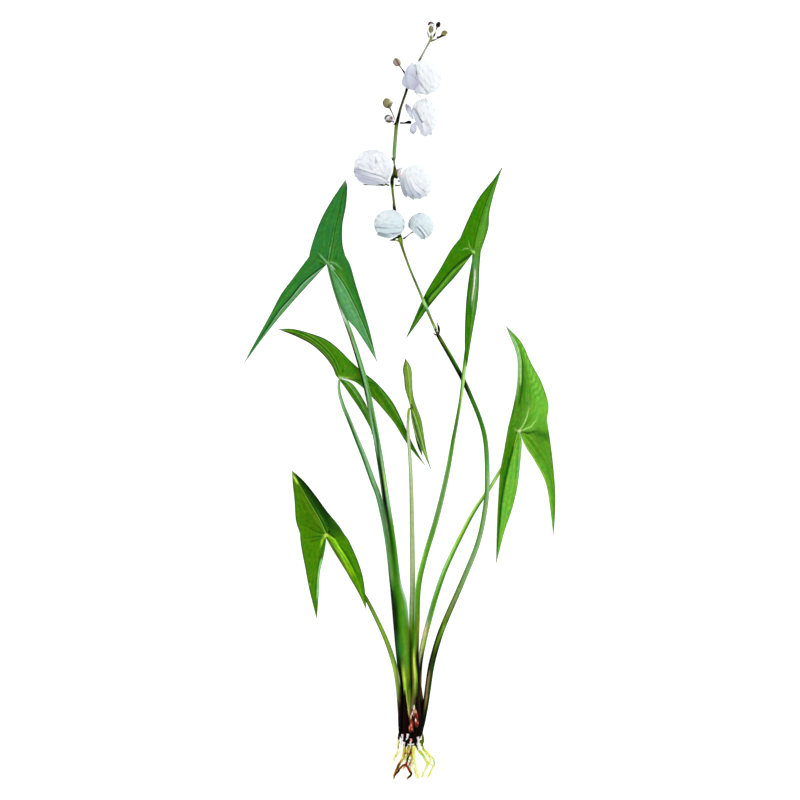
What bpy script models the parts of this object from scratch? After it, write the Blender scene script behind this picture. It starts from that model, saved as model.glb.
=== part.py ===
"""A double-flowered sagittaria, pulled up with its roots and laid on its back on a flat surface.

All the lists below are in millimetres. The plant lies along Y with its roots at -Y and its flowers at +Y,
the surface it lies on is z = 0, and the origin is in the middle of the plant, on that surface.
"""

import math

import bmesh
import bpy
from mathutils import Matrix, Vector

MM = 0.001

# Leaf blades: a leaf has a front lobe and two backward lobes, and each lobe is two strips along its vein.
BLADE_THICKNESS = 0.9
BLADE_STATIONS = 8       # rows of faces along each lobe
BLADE_COLUMNS = 2        # faces from the vein to the margin
BLADE_BOW = 0.05         # how far a strip bulges up between vein and margin, as a share of its width
BLADE_WELD = 0.02        # corners of neighbouring strips closer than this become one

# Edges that turn by more than these angles, in degrees, stay sharp.
PLAIN_SHARP = 60
BLADE_SHARP = 40
FLOWER_SHARP = 35

# Tubes and lofts.
STALK_SIDES = 8
ROUND_STEP = 14.0        # distance between the rings of a leaf stalk
LONG_SPAN = 24.0         # a longer span of the flower stalk gets a ring halfway
THIN_STEP = 7.0          # distance between the rings of a root, a pedicel or a bud's stalk

# Flowers: rings of the double flower, from the apex down: polar angle, radius as a share of the flower's
# own, and how deep the notch between two petals cuts into that ring.
PETALS_PER_TIER = 8
COLUMNS_PER_PETAL = 3    # one of them is the notch beside the petal
FLOWER_RINGS = (
    (17, 0.84, 0.00),
    (25, 0.97, 0.09),
    (50, 0.87, 0.00),
    (58, 1.00, 0.10),
    (82, 0.87, 0.00),
    (91, 1.00, 0.10),
    (117, 0.84, 0.00),
    (126, 0.97, 0.12),
    (152, 0.72, 0.00),
)
FLOWER_APEX = 0.90
FLOWER_FOOT = 0.62
NOTCH_SAG = 60           # how many degrees down a notch of full depth would sag

# One entry a leaf. Each lobe lists its vein and its two margins from the leaf's junction outwards, as seen
# from above. The heights of a vein or margin are its middle's and its tip's.
LEAVES = {
    "upper_left": {
        "junction": (-54, 103, 17),
        "shoulders": ((-68, 108, 14.5), (-41, 109, 15)),
        "front": {
            "tip": (-41, 166, 1.0),
            "vein": ((-50, 124), (-46, 143), (-42.5, 160)),
            "margins": (((-67, 113), (-64, 123), (-59, 136), (-52, 149)),
                        ((-43, 118), (-43, 132), (-40.5, 146), (-39.5, 160))),
            "middles": (13.5, 10.5, 11.5),
        },
        "left": {
            "tip": (-117, 28, 0.8),
            "vein": ((-71, 90), (-82, 77), (-93, 64)),
            "margins": (((-80, 92), (-89, 80), (-97, 65), (-112, 38)),
                        ((-65, 91), (-84, 70), (-99, 52))),
            "middles": (10.5, 8.0, 7.0),
        },
        "right": {
            "tip": (-17, 29, 0.8),
            "vein": ((-43, 88), (-35, 73), (-28, 58), (-22, 43)),
            "margins": (((-37, 101), (-33, 87), (-28, 71), (-23, 54)),
                        ((-49, 83), (-45, 72), (-40, 62), (-33, 54), (-25, 42))),
            "middles": (11.0, 8.0, 12.0),
        },
    },
    "upper_right": {
        "junction": (55, 111, 14),
        "shoulders": ((45, 122, 11.5), (60.5, 112, 12.5)),
        "front": {
            "tip": (77, 176, 1.5),
            "vein": ((57, 122), (62, 140), (69, 159)),
            "margins": (((51, 136), (59, 152), (70, 166)),
                        ((66, 129), (67, 141), (70, 154), (75, 170))),
            "middles": (11.0, 8.5, 8.0),
        },
        "left": {
            "tip": (4, 46, 0.8),
            "vein": ((40, 99), (29, 86), (20, 75)),
            "margins": (((38, 113), (30, 99), (22, 86), (16, 74)),
                        ((42, 94), (32, 83), (22, 71), (15, 61))),
            "middles": (3.4, 2.7, 3.1),
        },
        "right": {
            "tip": (50, 25, 12.8),
            "vein": ((56.5, 94), (54, 70), (51.5, 45)),
            "margins": (((59.5, 100), (59, 85), (57.5, 70), (54, 50)),
                        ((51.5, 92), (49.5, 75), (48.5, 55), (48.5, 38))),
            "middles": (15.0, 13.4, 13.6),
        },
    },
    "middle_left": {
        "junction": (-45, 17, 5.4),
        "shoulders": ((-48, 19, 3.4), (-37, 30, 5.2)),
        "front": {
            "tip": (-92, 54, 1.8),
            "vein": ((-51, 31), (-61, 42), (-74, 50)),
            "margins": (((-51, 26), (-57, 34), (-66, 42), (-77, 48)),
                        ((-46, 39), (-55, 46), (-65, 50), (-80, 54))),
            "middles": (7.5, 3.4, 5.6),
        },
        "left": {
            "tip": (-20, -27, 0.8),
            "vein": ((-37, 9), (-30, -2), (-25, -13)),
            "margins": (((-44, 14), (-37, 4), (-29, -8), (-22, -21)),
                        ((-36, 13), (-28, 2), (-23, -9))),
            "middles": (3.4, 2.2, 2.6),
        },
        "right": {
            "tip": (20, -50, 0.8),
            "vein": ((-22, 14), (-16, 7), (-5, -10), (7, -30)),
            "margins": (((-28, 22), (-18, 14), (-9, 4), (-2, -7), (10, -33)),
                        ((-33, 14), (-21, 3), (-12, -7), (-4, -17), (6, -33))),
            "middles": (3.2, 2.4, 2.2),
        },
    },
    "young": {
        "junction": (8, -5, 10),
        "shoulders": ((6.2, 1, 8.2), (10.2, 3, 8.6)),
        "front": {
            "tip": (4, 32, 10),
            "vein": ((7.2, 8), (6.6, 18), (5.4, 26)),
            "margins": (((3.8, 9), (3.0, 17), (2.2, 24)),
                        ((9.4, 9), (9.2, 17), (8.2, 25))),
            "middles": (13.0, 8.6, 8.8),
        },
        "left": {
            "tip": (17, -42, 3.8),
            "vein": ((10, -14), (12.4, -25), (14.8, -34)),
            "margins": (((8.8, -9), (9.4, -15), (11, -25), (13.6, -35)),
                        ((10.8, -13), (13.8, -24), (16, -34))),
            "middles": (6.0, 4.2, 4.4),
        },
        "right": {
            "tip": (23, -51, 4.6),
            "vein": ((11.5, -14), (15, -26), (18, -38)),
            "margins": (((12, -3), (16, -14), (18, -26), (20, -38)),
                        ((8.6, -14), (11.6, -26), (17, -38))),
            "middles": (10.2, 8.2, 8.4),
        },
    },
    "right": {
        "junction": (89, -23, 14),
        "shoulders": ((81, -19, 11.5), (110, -14, 10.5)),
        "front": {
            "tip": (79, 57, 1.0),
            "vein": ((94, -16), (97, -2), (94, 20), (89, 40)),
            "margins": (((84, -7), (87, 8), (88, 21), (87, 36)),
                        ((111, -2), (106, 14), (98, 29), (91, 44))),
            "middles": (12.0, 9.5, 8.0),
        },
        "left": {
            "tip": (72, -123, 0.8),
            "vein": ((82, -47), (77, -72), (74, -102)),
            "margins": (((78, -36), (75, -53), (73.5, -74), (72.5, -97)),
                        ((91, -30), (90, -46), (88, -64), (84, -81), (78, -99))),
            "middles": (8.5, 6.8, 6.5),
        },
        "right": {
            "tip": (115, -102, 0.8),
            "vein": ((99, -38), (108, -52), (112.5, -68), (114.5, -86)),
            "margins": (((112.5, -30), (115, -50), (116.5, -71), (116, -90)),
                        ((94, -34), (101, -45), (109, -61), (112.5, -80))),
            "middles": (8.0, 5.0, 7.0),
        },
    },
    "lower_left": {
        "junction": (-55, -100, 12.5),
        "shoulders": ((-75, -99, 8.5), (-42, -99, 10.5)),
        "front": {
            "tip": (-81, -52, 1.0),
            "vein": ((-60, -89), (-70, -72), (-79, -56)),
            "margins": (((-78, -89), (-79, -75), (-80.5, -61)),
                        ((-46, -93), (-55, -82), (-63, -71), (-72, -60))),
            "middles": (9.5, 5.6, 7.5),
        },
        "left": {
            "tip": (-62.4, -164, 0.8),
            "vein": ((-59, -110), (-62, -128), (-63.5, -144)),
            "margins": (((-74, -109), (-71, -125), (-68, -141)),
                        ((-55.5, -106), (-57, -115), (-60, -129), (-61, -146))),
            "middles": (7.0, 4.6, 5.4),
        },
        "right": {
            "tip": (-25, -157, 7.6),
            "vein": ((-44, -111), (-36, -124), (-30, -138)),
            "margins": (((-38, -105), (-31, -121), (-27, -136)),
                        ((-52, -106), (-46, -117), (-39, -130), (-31, -144))),
            "middles": (10.4, 8.2, 9.6),
        },
    },
}

# Leaf stalks, from under the blade down to the corm: x, y, z of the middle, then width and depth. The
# lower end is a sheath, which is wider than it is deep.
LEAF_STALKS = {
    "upper_left": (
        (-53.6, 101.5, 14.8, 2.4, 2.4), (-49.5, 86, 11.4, 2.8, 2.8), (-42.8, 66, 9.6, 3.4, 3.4),
        (-35.6, 46, 9.2, 3.9, 3.9), (-26.6, 16, 9.2, 4.4, 4.4), (-20.2, -14, 9.2, 4.9, 4.9),
        (-15, -44, 9.2, 5.2, 5.0), (-10.5, -74, 9.2, 5.4, 5.0), (-6, -104, 9.2, 5.6, 4.8),
        (-3.2, -134, 9.4, 7.4, 4.2), (0, -150, 9.5, 10.0, 3.6), (1.2, -165, 9.6, 11.0, 3.4),
        (2.2, -180, 9.8, 10.6, 3.6), (4.0, -198, 10.0, 7.6, 4.2), (5.0, -212, 10.2, 6.0, 4.6),
        (6.0, -226, 10.4, 5.4, 4.8), (6.0, -242, 10.5, 4.8, 4.6)),
    "upper_right": (
        (55, 108.5, 12.0, 2.2, 2.2), (54.2, 83, 11.0, 2.6, 2.6), (52.4, 61, 10.4, 2.8, 2.8),
        (48.9, 31, 9.8, 3.0, 3.0), (45.3, 1, 9.0, 2.5, 2.5), (39.9, -29, 8.6, 3.2, 3.2),
        (34.3, -59, 8.4, 3.9, 3.9), (27, -89, 8.4, 4.2, 4.2), (18, -119, 8.6, 4.2, 4.2),
        (13.6, -140, 9.0, 4.4, 4.2), (12.6, -165, 9.2, 4.6, 4.2), (11.8, -190, 9.4, 4.6, 4.2),
        (12.8, -209, 9.8, 4.6, 4.2), (12.8, -225, 10.2, 4.4, 4.2), (11.2, -242.6, 10.3, 3.8, 3.8)),
    "middle_left": (
        (-45.8, 13.6, 2.6, 2.0, 2.0), (-45.4, 6, 2.5, 2.4, 2.4), (-42.5, -4, 2.5, 2.8, 2.8),
        (-38.2, -14, 2.5, 3.2, 3.2), (-32.2, -29, 2.5, 3.6, 3.6), (-26.2, -44, 2.6, 4.0, 4.0),
        (-20.8, -59, 2.6, 4.2, 4.2), (-15.4, -74, 2.7, 4.4, 4.4), (-9.4, -104, 2.7, 4.4, 4.4),
        (-6, -134, 2.8, 4.4, 4.4), (-3.8, -157, 2.9, 4.6, 4.2), (-1.8, -180, 3.0, 4.6, 4.2),
        (0.6, -205, 3.3, 4.4, 4.2), (2.4, -225, 3.6, 4.4, 4.2), (2.4, -243, 3.8, 4.2, 4.0)),
    "young": (
        (6.6, -6.6, 7.2, 1.8, 1.8), (6.1, -13, 7.0, 2.1, 2.1), (6.1, -25, 7.0, 2.3, 2.3),
        (7.5, -44, 7.0, 2.8, 2.8), (8.5, -67, 6.6, 3.2, 3.2), (9.1, -104, 5.8, 3.8, 3.8),
        (9.4, -134, 5.0, 4.0, 3.8), (8.8, -164, 4.8, 4.0, 3.6), (9.4, -194, 5.2, 4.0, 3.8),
        (9.8, -212, 5.6, 4.0, 3.8), (9.4, -226, 5.4, 3.8, 3.6), (8.2, -241.6, 5.2, 3.6, 3.6)),
    "right": (
        (87.5, -26, 11.6, 2.0, 2.0), (84.5, -36, 9.8, 2.3, 2.3), (80, -45, 7.4, 2.4, 2.4),
        (74.6, -53, 4.8, 2.5, 2.5), (67.5, -65, 2.5, 2.6, 2.6), (57, -80, 2.2, 3.0, 3.0),
        (47.2, -98, 2.3, 3.3, 3.3), (35.2, -123, 2.4, 3.8, 3.8), (28.5, -141, 2.5, 4.0, 4.0),
        (23.2, -159, 2.7, 4.2, 4.0), (18, -179, 3.0, 4.2, 4.0), (15, -196, 3.4, 4.0, 4.0),
        (14.2, -212, 3.6, 4.0, 4.0), (14.2, -226, 3.8, 4.0, 4.0), (12.4, -242.8, 4.2, 3.8, 3.8)),
    "lower_left": (
        (-54.2, -102.5, 10.3, 2.2, 2.2), (-48.8, -112, 8.6, 2.4, 2.4), (-41.2, -124, 7.0, 2.6, 2.6),
        (-33, -137, 5.8, 2.7, 2.7), (-24.8, -149, 5.0, 2.8, 2.8), (-13.5, -172, 5.6, 3.3, 3.3),
        (-7.5, -187, 6.4, 3.7, 3.7), (-3.2, -202, 7.2, 3.9, 3.9), (-1.1, -217, 8.2, 3.9, 3.9),
        (0.1, -233, 8.6, 3.7, 3.7), (0.4, -244.6, 8.8, 3.2, 3.2)),
}

# The flower stalk, from the corm to its tip: x, y, z of the middle, then its thickness. It swells at
# the joints that carry the whorls.
FLOWER_STALK = (
    (15.5, -245.0, 8.4, 4.2), (18.3, -232, 8.6, 4.6), (20.4, -218, 8.6, 4.8), (23.4, -198, 8.0, 5.0),
    (28.5, -179, 7.6, 4.8), (34.1, -164, 7.4, 4.6), (47.2, -134, 7.2, 4.2), (58.9, -104, 7.2, 3.9),
    (64.5, -74, 7.2, 3.8), (65.2, -50, 6.4, 3.8), (63.8, -29, 5.2, 3.7), (60, -14, 4.2, 3.5),
    (54, 1, 3.4, 3.4), (47.6, 15, 3.0, 3.6), (39, 31, 3.2, 3.5), (29.4, 47.5, 4.2, 3.2),
    (27.2, 52, 4.6, 4.0), (23.4, 61, 5.2, 2.3), (15.0, 81, 5.2, 2.2), (7.0, 100, 4.2, 2.2),
    (1.4, 116, 2.8, 2.4), (0.2, 121, 2.5, 4.2), (-2.4, 132, 2.2, 2.5), (-5.3, 154.5, 2.6, 2.1),
    (-6.0, 163.5, 3.0, 4.6), (-4.6, 171, 3.2, 2.7), (-4.2, 188, 3.2, 2.9), (-2.8, 206, 3.2, 2.8),
    (-2.2, 209, 3.2, 4.0), (0.6, 220, 3.2, 2.2), (4.6, 232, 3.0, 2.1), (6.8, 240, 3.0, 3.4),
    (10.5, 248, 3.2, 2.0), (15, 256, 3.6, 1.9), (18.8, 263, 4.0, 1.8), (22.5, 270, 4.4, 2.6),
)

# Flowers: centre, radii along X, Y and Z, the way the flower faces, and the route of its own stalk.
FLOWERS = {
    "low_left": ((-7.9, 132.4, 16.0), (11.6, 10.9, 10.8), (0.10, 0.60, 0.79),
                 ((-1.2, 124.4, 5.0), (-1.8, 125.2, 6.6), (-2.6, 126.2, 8.2))),
    "low_right": ((15.8, 131.0, 10.2), (9.7, 10.1, 10.0), (0.55, 0.55, 0.63),
                  ((2.6, 121.6, 3.2), (5.4, 123.6, 4.4), (8.4, 126.0, 6.0))),
    "middle_left": ((-20.6, 174.4, 14.2), (14.6, 13.9, 14.0), (0.10, 0.30, 0.95),
                    ((-8.4, 161.6, 4.4), (-10.2, 162.2, 6.0), (-11.8, 163.8, 7.8))),
    "middle_right": ((12.2, 164.0, 13.1), (12.7, 13.1, 12.9), (0.45, 0.45, 0.77),
                     ((-3.4, 161.6, 4.2), (-1.4, 161.4, 5.8), (0.8, 161.8, 7.4))),
    "upper_right": ((17.2, 213.0, 12.4), (11.2, 13.8, 12.2), (0.85, 0.15, 0.50),
                    ((0.4, 208.4, 3.8), (3.2, 208.2, 5.4), (6.4, 208.8, 7.2))),
    "top_right": ((18.9, 242.2, 13.2), (12.7, 13.1, 13.0), (0.80, 0.35, 0.49),
                  ((7.2, 236.6, 5.0), (7.8, 236.4, 6.6), (8.8, 236.8, 8.0))),
}
PEDICEL_THICKNESS = 1.5

# Buds: centre, radius, length as a share of the width, and the route of the bud's stalk from the flower
# stalk outwards.
BUDS = {
    "tip_left": ((23.2, 278.4, 5.0), 1.9, 1.55,
                 ((23.2, 272.6, 4.7), (23.3, 273.8, 4.9), (23.3, 274.8, 5.0))),
    "tip_middle": ((28.6, 281.8, 5.6), 1.8, 1.2,
                   ((24.6, 272.2, 5.0), (26.2, 275.2, 5.3), (27.3, 278.8, 5.5))),
    "tip_right": ((33.2, 275.4, 5.2), 2.2, 1.15,
                  ((24.8, 270.2, 4.4), (27.8, 271.4, 4.8), (30.7, 273.5, 5.0))),
    "top": ((-2.2, 253.8, 4.8), 2.9, 1.1,
            ((5.2, 242.8, 3.6), (3.4, 246.0, 4.0), (0.4, 250.2, 4.5))),
    "upper_large": ((-9.4, 223.0, 4.6), 3.4, 1.1,
                    ((-4.6, 212.4, 3.7), (-5.6, 215.4, 4.0), (-7.4, 219.0, 4.4))),
    "upper_small": ((-8.5, 211.5, 4.0), 3.0, 1.1,
                    ((-4.9, 209.0, 3.4), (-5.1, 209.3, 3.5), (-5.3, 209.6, 3.6))),
}
BUD_STALK_THICKNESS = 1.2
BUD_FACES = (10, 6)      # columns round the bud and rows from its foot to its tip
BUD_TAPER = 0.25         # share of its width that a bud loses towards its tip

# Bracts: foot, tip, width and depth of each pointed scale that stands at a joint of the flower stalk.
BRACTS = {
    "bare_joint": ((29.3, 51.4, 7.6), (27.8, 59.0, 8.6), 2.2, 1.0),
    "low_whorl": ((-3.4, 121.0, 3.2), (-8.2, 120.4, 4.2), 2.6, 1.0),
    "middle_whorl": ((-3.2, 166.8, 5.6), (-0.4, 174.0, 6.6), 2.8, 1.2),
    "upper_whorl": ((-0.8, 210.6, 6.4), (2.4, 215.6, 6.8), 2.2, 1.0),
    "tip": ((21.6, 272.4, 5.4), (20.5, 277.4, 6.4), 1.6, 0.9),
}
CONE_SIDES = 8           # of a bract or a young shoot
CONE_TIP = 0.12          # thickness left at the tip of such a cone, as a share of its foot's

# The corm, its flat patch underneath, and the shoots on its crown.
CORM_CENTRE = (7.7, -250.0, 6.6)
CORM_RADII = (8.2, 7.0, 7.4)
CORM_FACES = (16, 10)    # columns round the corm and rows from pole to pole
SHOOTS = {
    "left": ((8.8, -247.6, 15.4), (8.4, -233.5, 15.4), 1.5),
    "right": ((12.2, -244.0, 14.8), (10.8, -228.0, 15.2), 1.4),
}

# Roots, from the corm outwards: x, y, z of the middle. Each thins evenly from the first thickness to
# the last.
ROOTS = (
    ((-1.4, -252.2, 4.0), (-1.0, -256, 2.4), (-1.6, -262, 1.0), (-3.2, -268, 0.8)),
    ((3.6, -257.2, 4.6), (3.4, -261, 3.0), (1.8, -267, 1.4), (-0.8, -273, 1.0), (-3.8, -279, 0.9),
     (-4.6, -284, 0.8)),
    ((6.6, -258.0, 7.4), (5.8, -262.5, 5.2), (5.4, -267.5, 3.0), (4.0, -273, 1.6), (2.0, -277, 1.0)),
    ((9.2, -258.1, 5.0), (8.2, -262.5, 3.2), (8.6, -268, 1.6), (7.4, -274, 1.0), (8.4, -280, 0.9),
     (4.6, -284.4, 0.9)),
    ((10.6, -257.8, 8.4), (10.2, -263, 5.6), (11.0, -270, 2.6), (12.4, -277, 1.2), (13.6, -283.5, 0.9)),
    ((12.4, -256.9, 4.2), (14.2, -261.5, 2.4), (18.4, -267, 1.1), (20.8, -272, 1.0), (18.6, -277, 0.9),
     (16.2, -283, 0.9)),
    ((15.2, -254.4, 6.2), (16.6, -258, 4.4), (18.8, -262.5, 2.8), (24.0, -267, 1.6), (25.8, -272, 1.2),
     (23.2, -278, 1.0), (19.6, -284.2, 0.9)),
    ((-1.4, -253.4, 8.0), (-2.0, -257, 6.0), (-2.6, -263, 3.2), (-5.2, -269, 1.4), (-7.0, -274, 0.9)),
)
ROOT_THICKNESS = (1.9, 0.9)

COLOURS = {
    "leaf_blade": (0.06, 0.20, 0.03),
    "leaf_stalk": (0.10, 0.24, 0.05),
    "flower_stalk": (0.08, 0.18, 0.04),
    "flower": (0.86, 0.87, 0.93),
    "pedicel": (0.14, 0.24, 0.08),
    "bud": (0.20, 0.17, 0.09),
    "bract": (0.05, 0.08, 0.02),
    "corm": (0.05, 0.02, 0.01),
    "young_shoot": (0.55, 0.22, 0.16),
    "root": (0.78, 0.66, 0.30),
}
ROUGHNESS = {"leaf_blade": 0.40, "flower": 0.65, "corm": 0.75, "root": 0.60}
PLAIN_ROUGHNESS = 0.50


def clear_objects():
    """Removes whatever the open scene holds."""
    for old in list(bpy.data.objects):
        bpy.data.objects.remove(old, do_unlink=True)


def curve_point(points, share):
    """The point at a share of the length of the smooth curve (Catmull-Rom) through the points."""
    points = [Vector(p) for p in points]
    lengths = [0.0]
    for a, b in zip(points, points[1:]):
        lengths.append(lengths[-1] + (b - a).length)
    along = min(max(share, 0.0), 1.0) * lengths[-1]
    k = 0
    while k < len(points) - 2 and along > lengths[k + 1]:
        k += 1
    t = (along - lengths[k]) / (lengths[k + 1] - lengths[k])
    p1, p2 = points[k], points[k + 1]
    p0 = points[k - 1] if k > 0 else p1 * 2 - p2
    p3 = points[k + 2] if k + 2 < len(points) else p2 * 2 - p1
    return 0.5 * (2 * p1 + (p2 - p0) * t + (2 * p0 - 5 * p1 + 4 * p2 - p3) * t * t
                  + (3 * p1 - p0 - 3 * p2 + p3) * t ** 3)


def curve_length(points):
    return sum((Vector(b[:3]) - Vector(a[:3])).length for a, b in zip(points, points[1:]))


def sampled(points, step):
    """Points about one step apart on the smooth curve through the points."""
    count = max(2, round(curve_length(points) / step))
    if len(points[0]) == 5:          # width and depth ride along as a curve of their own
        middle = [p[:3] for p in points]
        size = [(p[3], p[4], 0.0) for p in points]
        return [(curve_point(middle, i / count), size_at(middle, size, i / count)) for i in range(count + 1)]
    return [curve_point([p[:3] for p in points], i / count) for i in range(count + 1)]


def size_at(middle, size, share):
    """Width and depth at a share of the length, straight between the given ones."""
    steps = [0.0]
    for a, b in zip(middle, middle[1:]):
        steps.append(steps[-1] + (Vector(b) - Vector(a)).length)
    along = share * steps[-1]
    k = 0
    while k < len(size) - 2 and along > steps[k + 1]:
        k += 1
    t = (along - steps[k]) / (steps[k + 1] - steps[k])
    return Vector(size[k]).lerp(Vector(size[k + 1]), t)


def three_point_height(start, middle, end, share):
    """The height at a share of the way along a parabola through three heights."""
    return (start * (1 - share) * (1 - 2 * share) + 4 * middle * share * (1 - share)
            + end * share * (2 * share - 1))


def add_material(obj, name, kind):
    material = bpy.data.materials.new(name)
    material.use_nodes = True
    shader = material.node_tree.nodes["Principled BSDF"]
    shader.inputs["Base Color"].default_value = (*COLOURS[kind], 1.0)
    shader.inputs["Roughness"].default_value = ROUGHNESS.get(kind, PLAIN_ROUGHNESS)
    shader.inputs["Metallic"].default_value = 0.0
    material.diffuse_color = (*COLOURS[kind], 1.0)
    obj.data.materials.append(material)


def orient(bm):
    """Turns the faces of a closed solid outwards."""
    bmesh.ops.recalc_face_normals(bm, faces=bm.faces)
    if bm.calc_volume(signed=True) < 0:
        bmesh.ops.reverse_faces(bm, faces=bm.faces)


def add_mesh(collection, name, kind, bm, sharp_degrees=PLAIN_SHARP):
    """Makes one named object of a bmesh in millimetres, shaded smooth."""
    bm.transform(Matrix.Scale(MM, 4))
    mesh = bpy.data.meshes.new(name)
    bm.to_mesh(mesh)
    bm.free()
    mesh.shade_smooth()
    mesh.set_sharp_from_angle(angle=math.radians(sharp_degrees))
    obj = bpy.data.objects.new(name, mesh)
    collection.objects.link(obj)
    add_material(obj, name, kind)
    return obj


def add_tube(collection, name, kind, points, thicknesses):
    """A tube along the points, with a thickness at each of them and closed ends."""
    curve = bpy.data.curves.new(name, "CURVE")
    curve.dimensions = "3D"
    curve.bevel_depth = MM
    curve.bevel_resolution = 2
    curve.use_fill_caps = True
    spline = curve.splines.new("POLY")
    spline.points.add(len(points) - 1)
    for spot, place, thickness in zip(spline.points, points, thicknesses):
        spot.co = (*(Vector(place) * MM), 1.0)
        spot.radius = thickness / 2
    obj = bpy.data.objects.new(name, curve)
    collection.objects.link(obj)
    add_material(obj, name, kind)
    return obj


def strip_point(vein, margin, bow, across):
    """A point of a strip's row, between its vein and its margin, lifted into a shallow bow."""
    place = vein.lerp(margin, across)
    place.z += bow * (margin - vein).length * 4 * across * (1 - across)
    return place


def lobe_curves(leaf, lobe, starts):
    """The lobe's vein and two margins as lists of 3-D points, one a station."""
    tip = Vector(lobe["tip"])
    junction = Vector(leaf["junction"])
    curves = []
    for start, line, middle in zip((junction, *starts), (lobe["vein"], *lobe["margins"]), lobe["middles"]):
        start = Vector(start)
        plan = [(start.x, start.y, 0.0), *((x, y, 0.0) for x, y in line), (tip.x, tip.y, 0.0)]
        points = []
        for i in range(BLADE_STATIONS + 1):
            share = i / BLADE_STATIONS
            place = curve_point(plan, share)
            place.z = three_point_height(start.z, middle, tip.z, share)
            points.append(place)
        curves.append(points)
    return curves


def add_leaf_blade(collection, place, leaf):
    """An arrowhead blade: three lobes of two strips each, loft from vein to margin, given a thickness."""
    bm = bmesh.new()
    junction, (left, right) = leaf["junction"], leaf["shoulders"]
    lobes = (("front", (left, right)), ("left", (left, junction)), ("right", (right, junction)))
    for key, starts in lobes:
        vein, *margins = lobe_curves(leaf, leaf[key], starts)
        for margin in margins:
            rows = []
            for a, b in zip(vein, margin):
                rows.append([bm.verts.new(strip_point(a, b, BLADE_BOW, j / BLADE_COLUMNS))
                             for j in range(BLADE_COLUMNS + 1)])
            for row, following in zip(rows, rows[1:]):
                for j in range(BLADE_COLUMNS):
                    bm.faces.new((row[j], row[j + 1], following[j + 1], following[j]))
    bmesh.ops.remove_doubles(bm, verts=bm.verts, dist=BLADE_WELD)
    face_up(bm)
    obj = add_mesh(collection, f"leaf_blade_{place}", "leaf_blade", bm, BLADE_SHARP)
    solid = obj.modifiers.new("thickness", "SOLIDIFY")
    solid.thickness = BLADE_THICKNESS * MM
    solid.offset = 0.0
    return obj


def face_up(bm):
    """Turns the faces of an open sheet one way, so that the sheet looks up."""
    bmesh.ops.recalc_face_normals(bm, faces=bm.faces)
    if sum(face.normal.z * face.calc_area() for face in bm.faces) < 0:
        bmesh.ops.reverse_faces(bm, faces=bm.faces)


def add_leaf_stalk(collection, place, rows):
    """A loft from the round stalk under the blade to the flat sheath at the corm."""
    bm = bmesh.new()
    rings = []
    stations = sampled(rows, ROUND_STEP)
    for i, (middle, size) in enumerate(stations):
        before = stations[max(i - 1, 0)][0]
        after = stations[min(i + 1, len(stations) - 1)][0]
        along = (after - before).normalized()
        side = along.cross(Vector((0, 0, 1))).normalized()
        up = side.cross(along).normalized()
        ring = []
        for k in range(STALK_SIDES):
            turn = 2 * math.pi * (k + 0.5) / STALK_SIDES
            ring.append(bm.verts.new(middle + side * (size.x / 2 * math.cos(turn))
                                     + up * (size.y / 2 * math.sin(turn))))
        rings.append(ring)
    for ring, following in zip(rings, rings[1:]):
        for k in range(STALK_SIDES):
            n = (k + 1) % STALK_SIDES
            bm.faces.new((ring[k], ring[n], following[n], following[k]))
    bm.faces.new(rings[0])
    bm.faces.new(rings[-1])
    orient(bm)
    return add_mesh(collection, f"leaf_stalk_{place}", "leaf_stalk", bm)


def add_flower_stalk(collection):
    """The tall stalk, drawn through its points with a ring at each joint's swelling."""
    middles = [p[:3] for p in FLOWER_STALK]
    points, thicknesses = [], []
    total = len(middles) - 1
    lengths = [0.0]
    for a, b in zip(middles, middles[1:]):
        lengths.append(lengths[-1] + (Vector(b) - Vector(a)).length)
    for k in range(total):
        halves = 2 if lengths[k + 1] - lengths[k] > LONG_SPAN else 1
        for h in range(halves):
            share = (lengths[k] + (lengths[k + 1] - lengths[k]) * h / halves) / lengths[-1]
            points.append(curve_point(middles, share))
            here, following = FLOWER_STALK[k][3], FLOWER_STALK[k + 1][3]
            thicknesses.append(here + (following - here) * h / halves)
    points.append(Vector(middles[-1]))
    thicknesses.append(FLOWER_STALK[-1][3])
    return add_tube(collection, "flower_stalk", "flower_stalk", points, thicknesses)


def add_thin_tube(collection, name, kind, route, first, last):
    """A root, a pedicel or a bud's stalk, thinning evenly from its first end to its last."""
    points = sampled(route, THIN_STEP)
    steps = len(points) - 1
    thicknesses = [first + (last - first) * i / steps for i in range(steps + 1)]
    return add_tube(collection, name, kind, points, thicknesses)


def add_flower(collection, place, centre, radii, facing):
    """A double flower: a ball whose rings step in and out as tiers of notched petals."""
    columns = COLUMNS_PER_PETAL * PETALS_PER_TIER
    rings = len(FLOWER_RINGS)
    bm = bmesh.new()
    bmesh.ops.create_uvsphere(bm, u_segments=columns, v_segments=rings + 1, radius=1.0)
    turn = Vector((0, 0, 1)).rotation_difference(Vector(facing).normalized())
    for vert in bm.verts:
        polar = math.acos(max(-1.0, min(1.0, vert.co.z)))
        k = round(polar / math.pi * (rings + 1))
        if k == 0:
            direction, radius = Vector((0, 0, 1)), FLOWER_APEX
        elif k == rings + 1:
            direction, radius = Vector((0, 0, -1)), FLOWER_FOOT
        else:
            degrees, radius, notch = FLOWER_RINGS[k - 1]
            around = math.atan2(vert.co.y, vert.co.x)
            column = round(around / (2 * math.pi) * columns)
            tier = (k - 1) // 2
            if (column + tier) % COLUMNS_PER_PETAL == 0:
                radius -= notch
                degrees += NOTCH_SAG * notch
            angle = math.radians(degrees)
            direction = Vector((math.sin(angle) * math.cos(around), math.sin(angle) * math.sin(around),
                                math.cos(angle)))
        direction = turn @ direction
        vert.co = Vector(centre) + Vector((direction.x * radii[0], direction.y * radii[1],
                                           direction.z * radii[2])) * radius
    orient(bm)
    return add_mesh(collection, f"flower_{place}", "flower", bm, FLOWER_SHARP)


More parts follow.
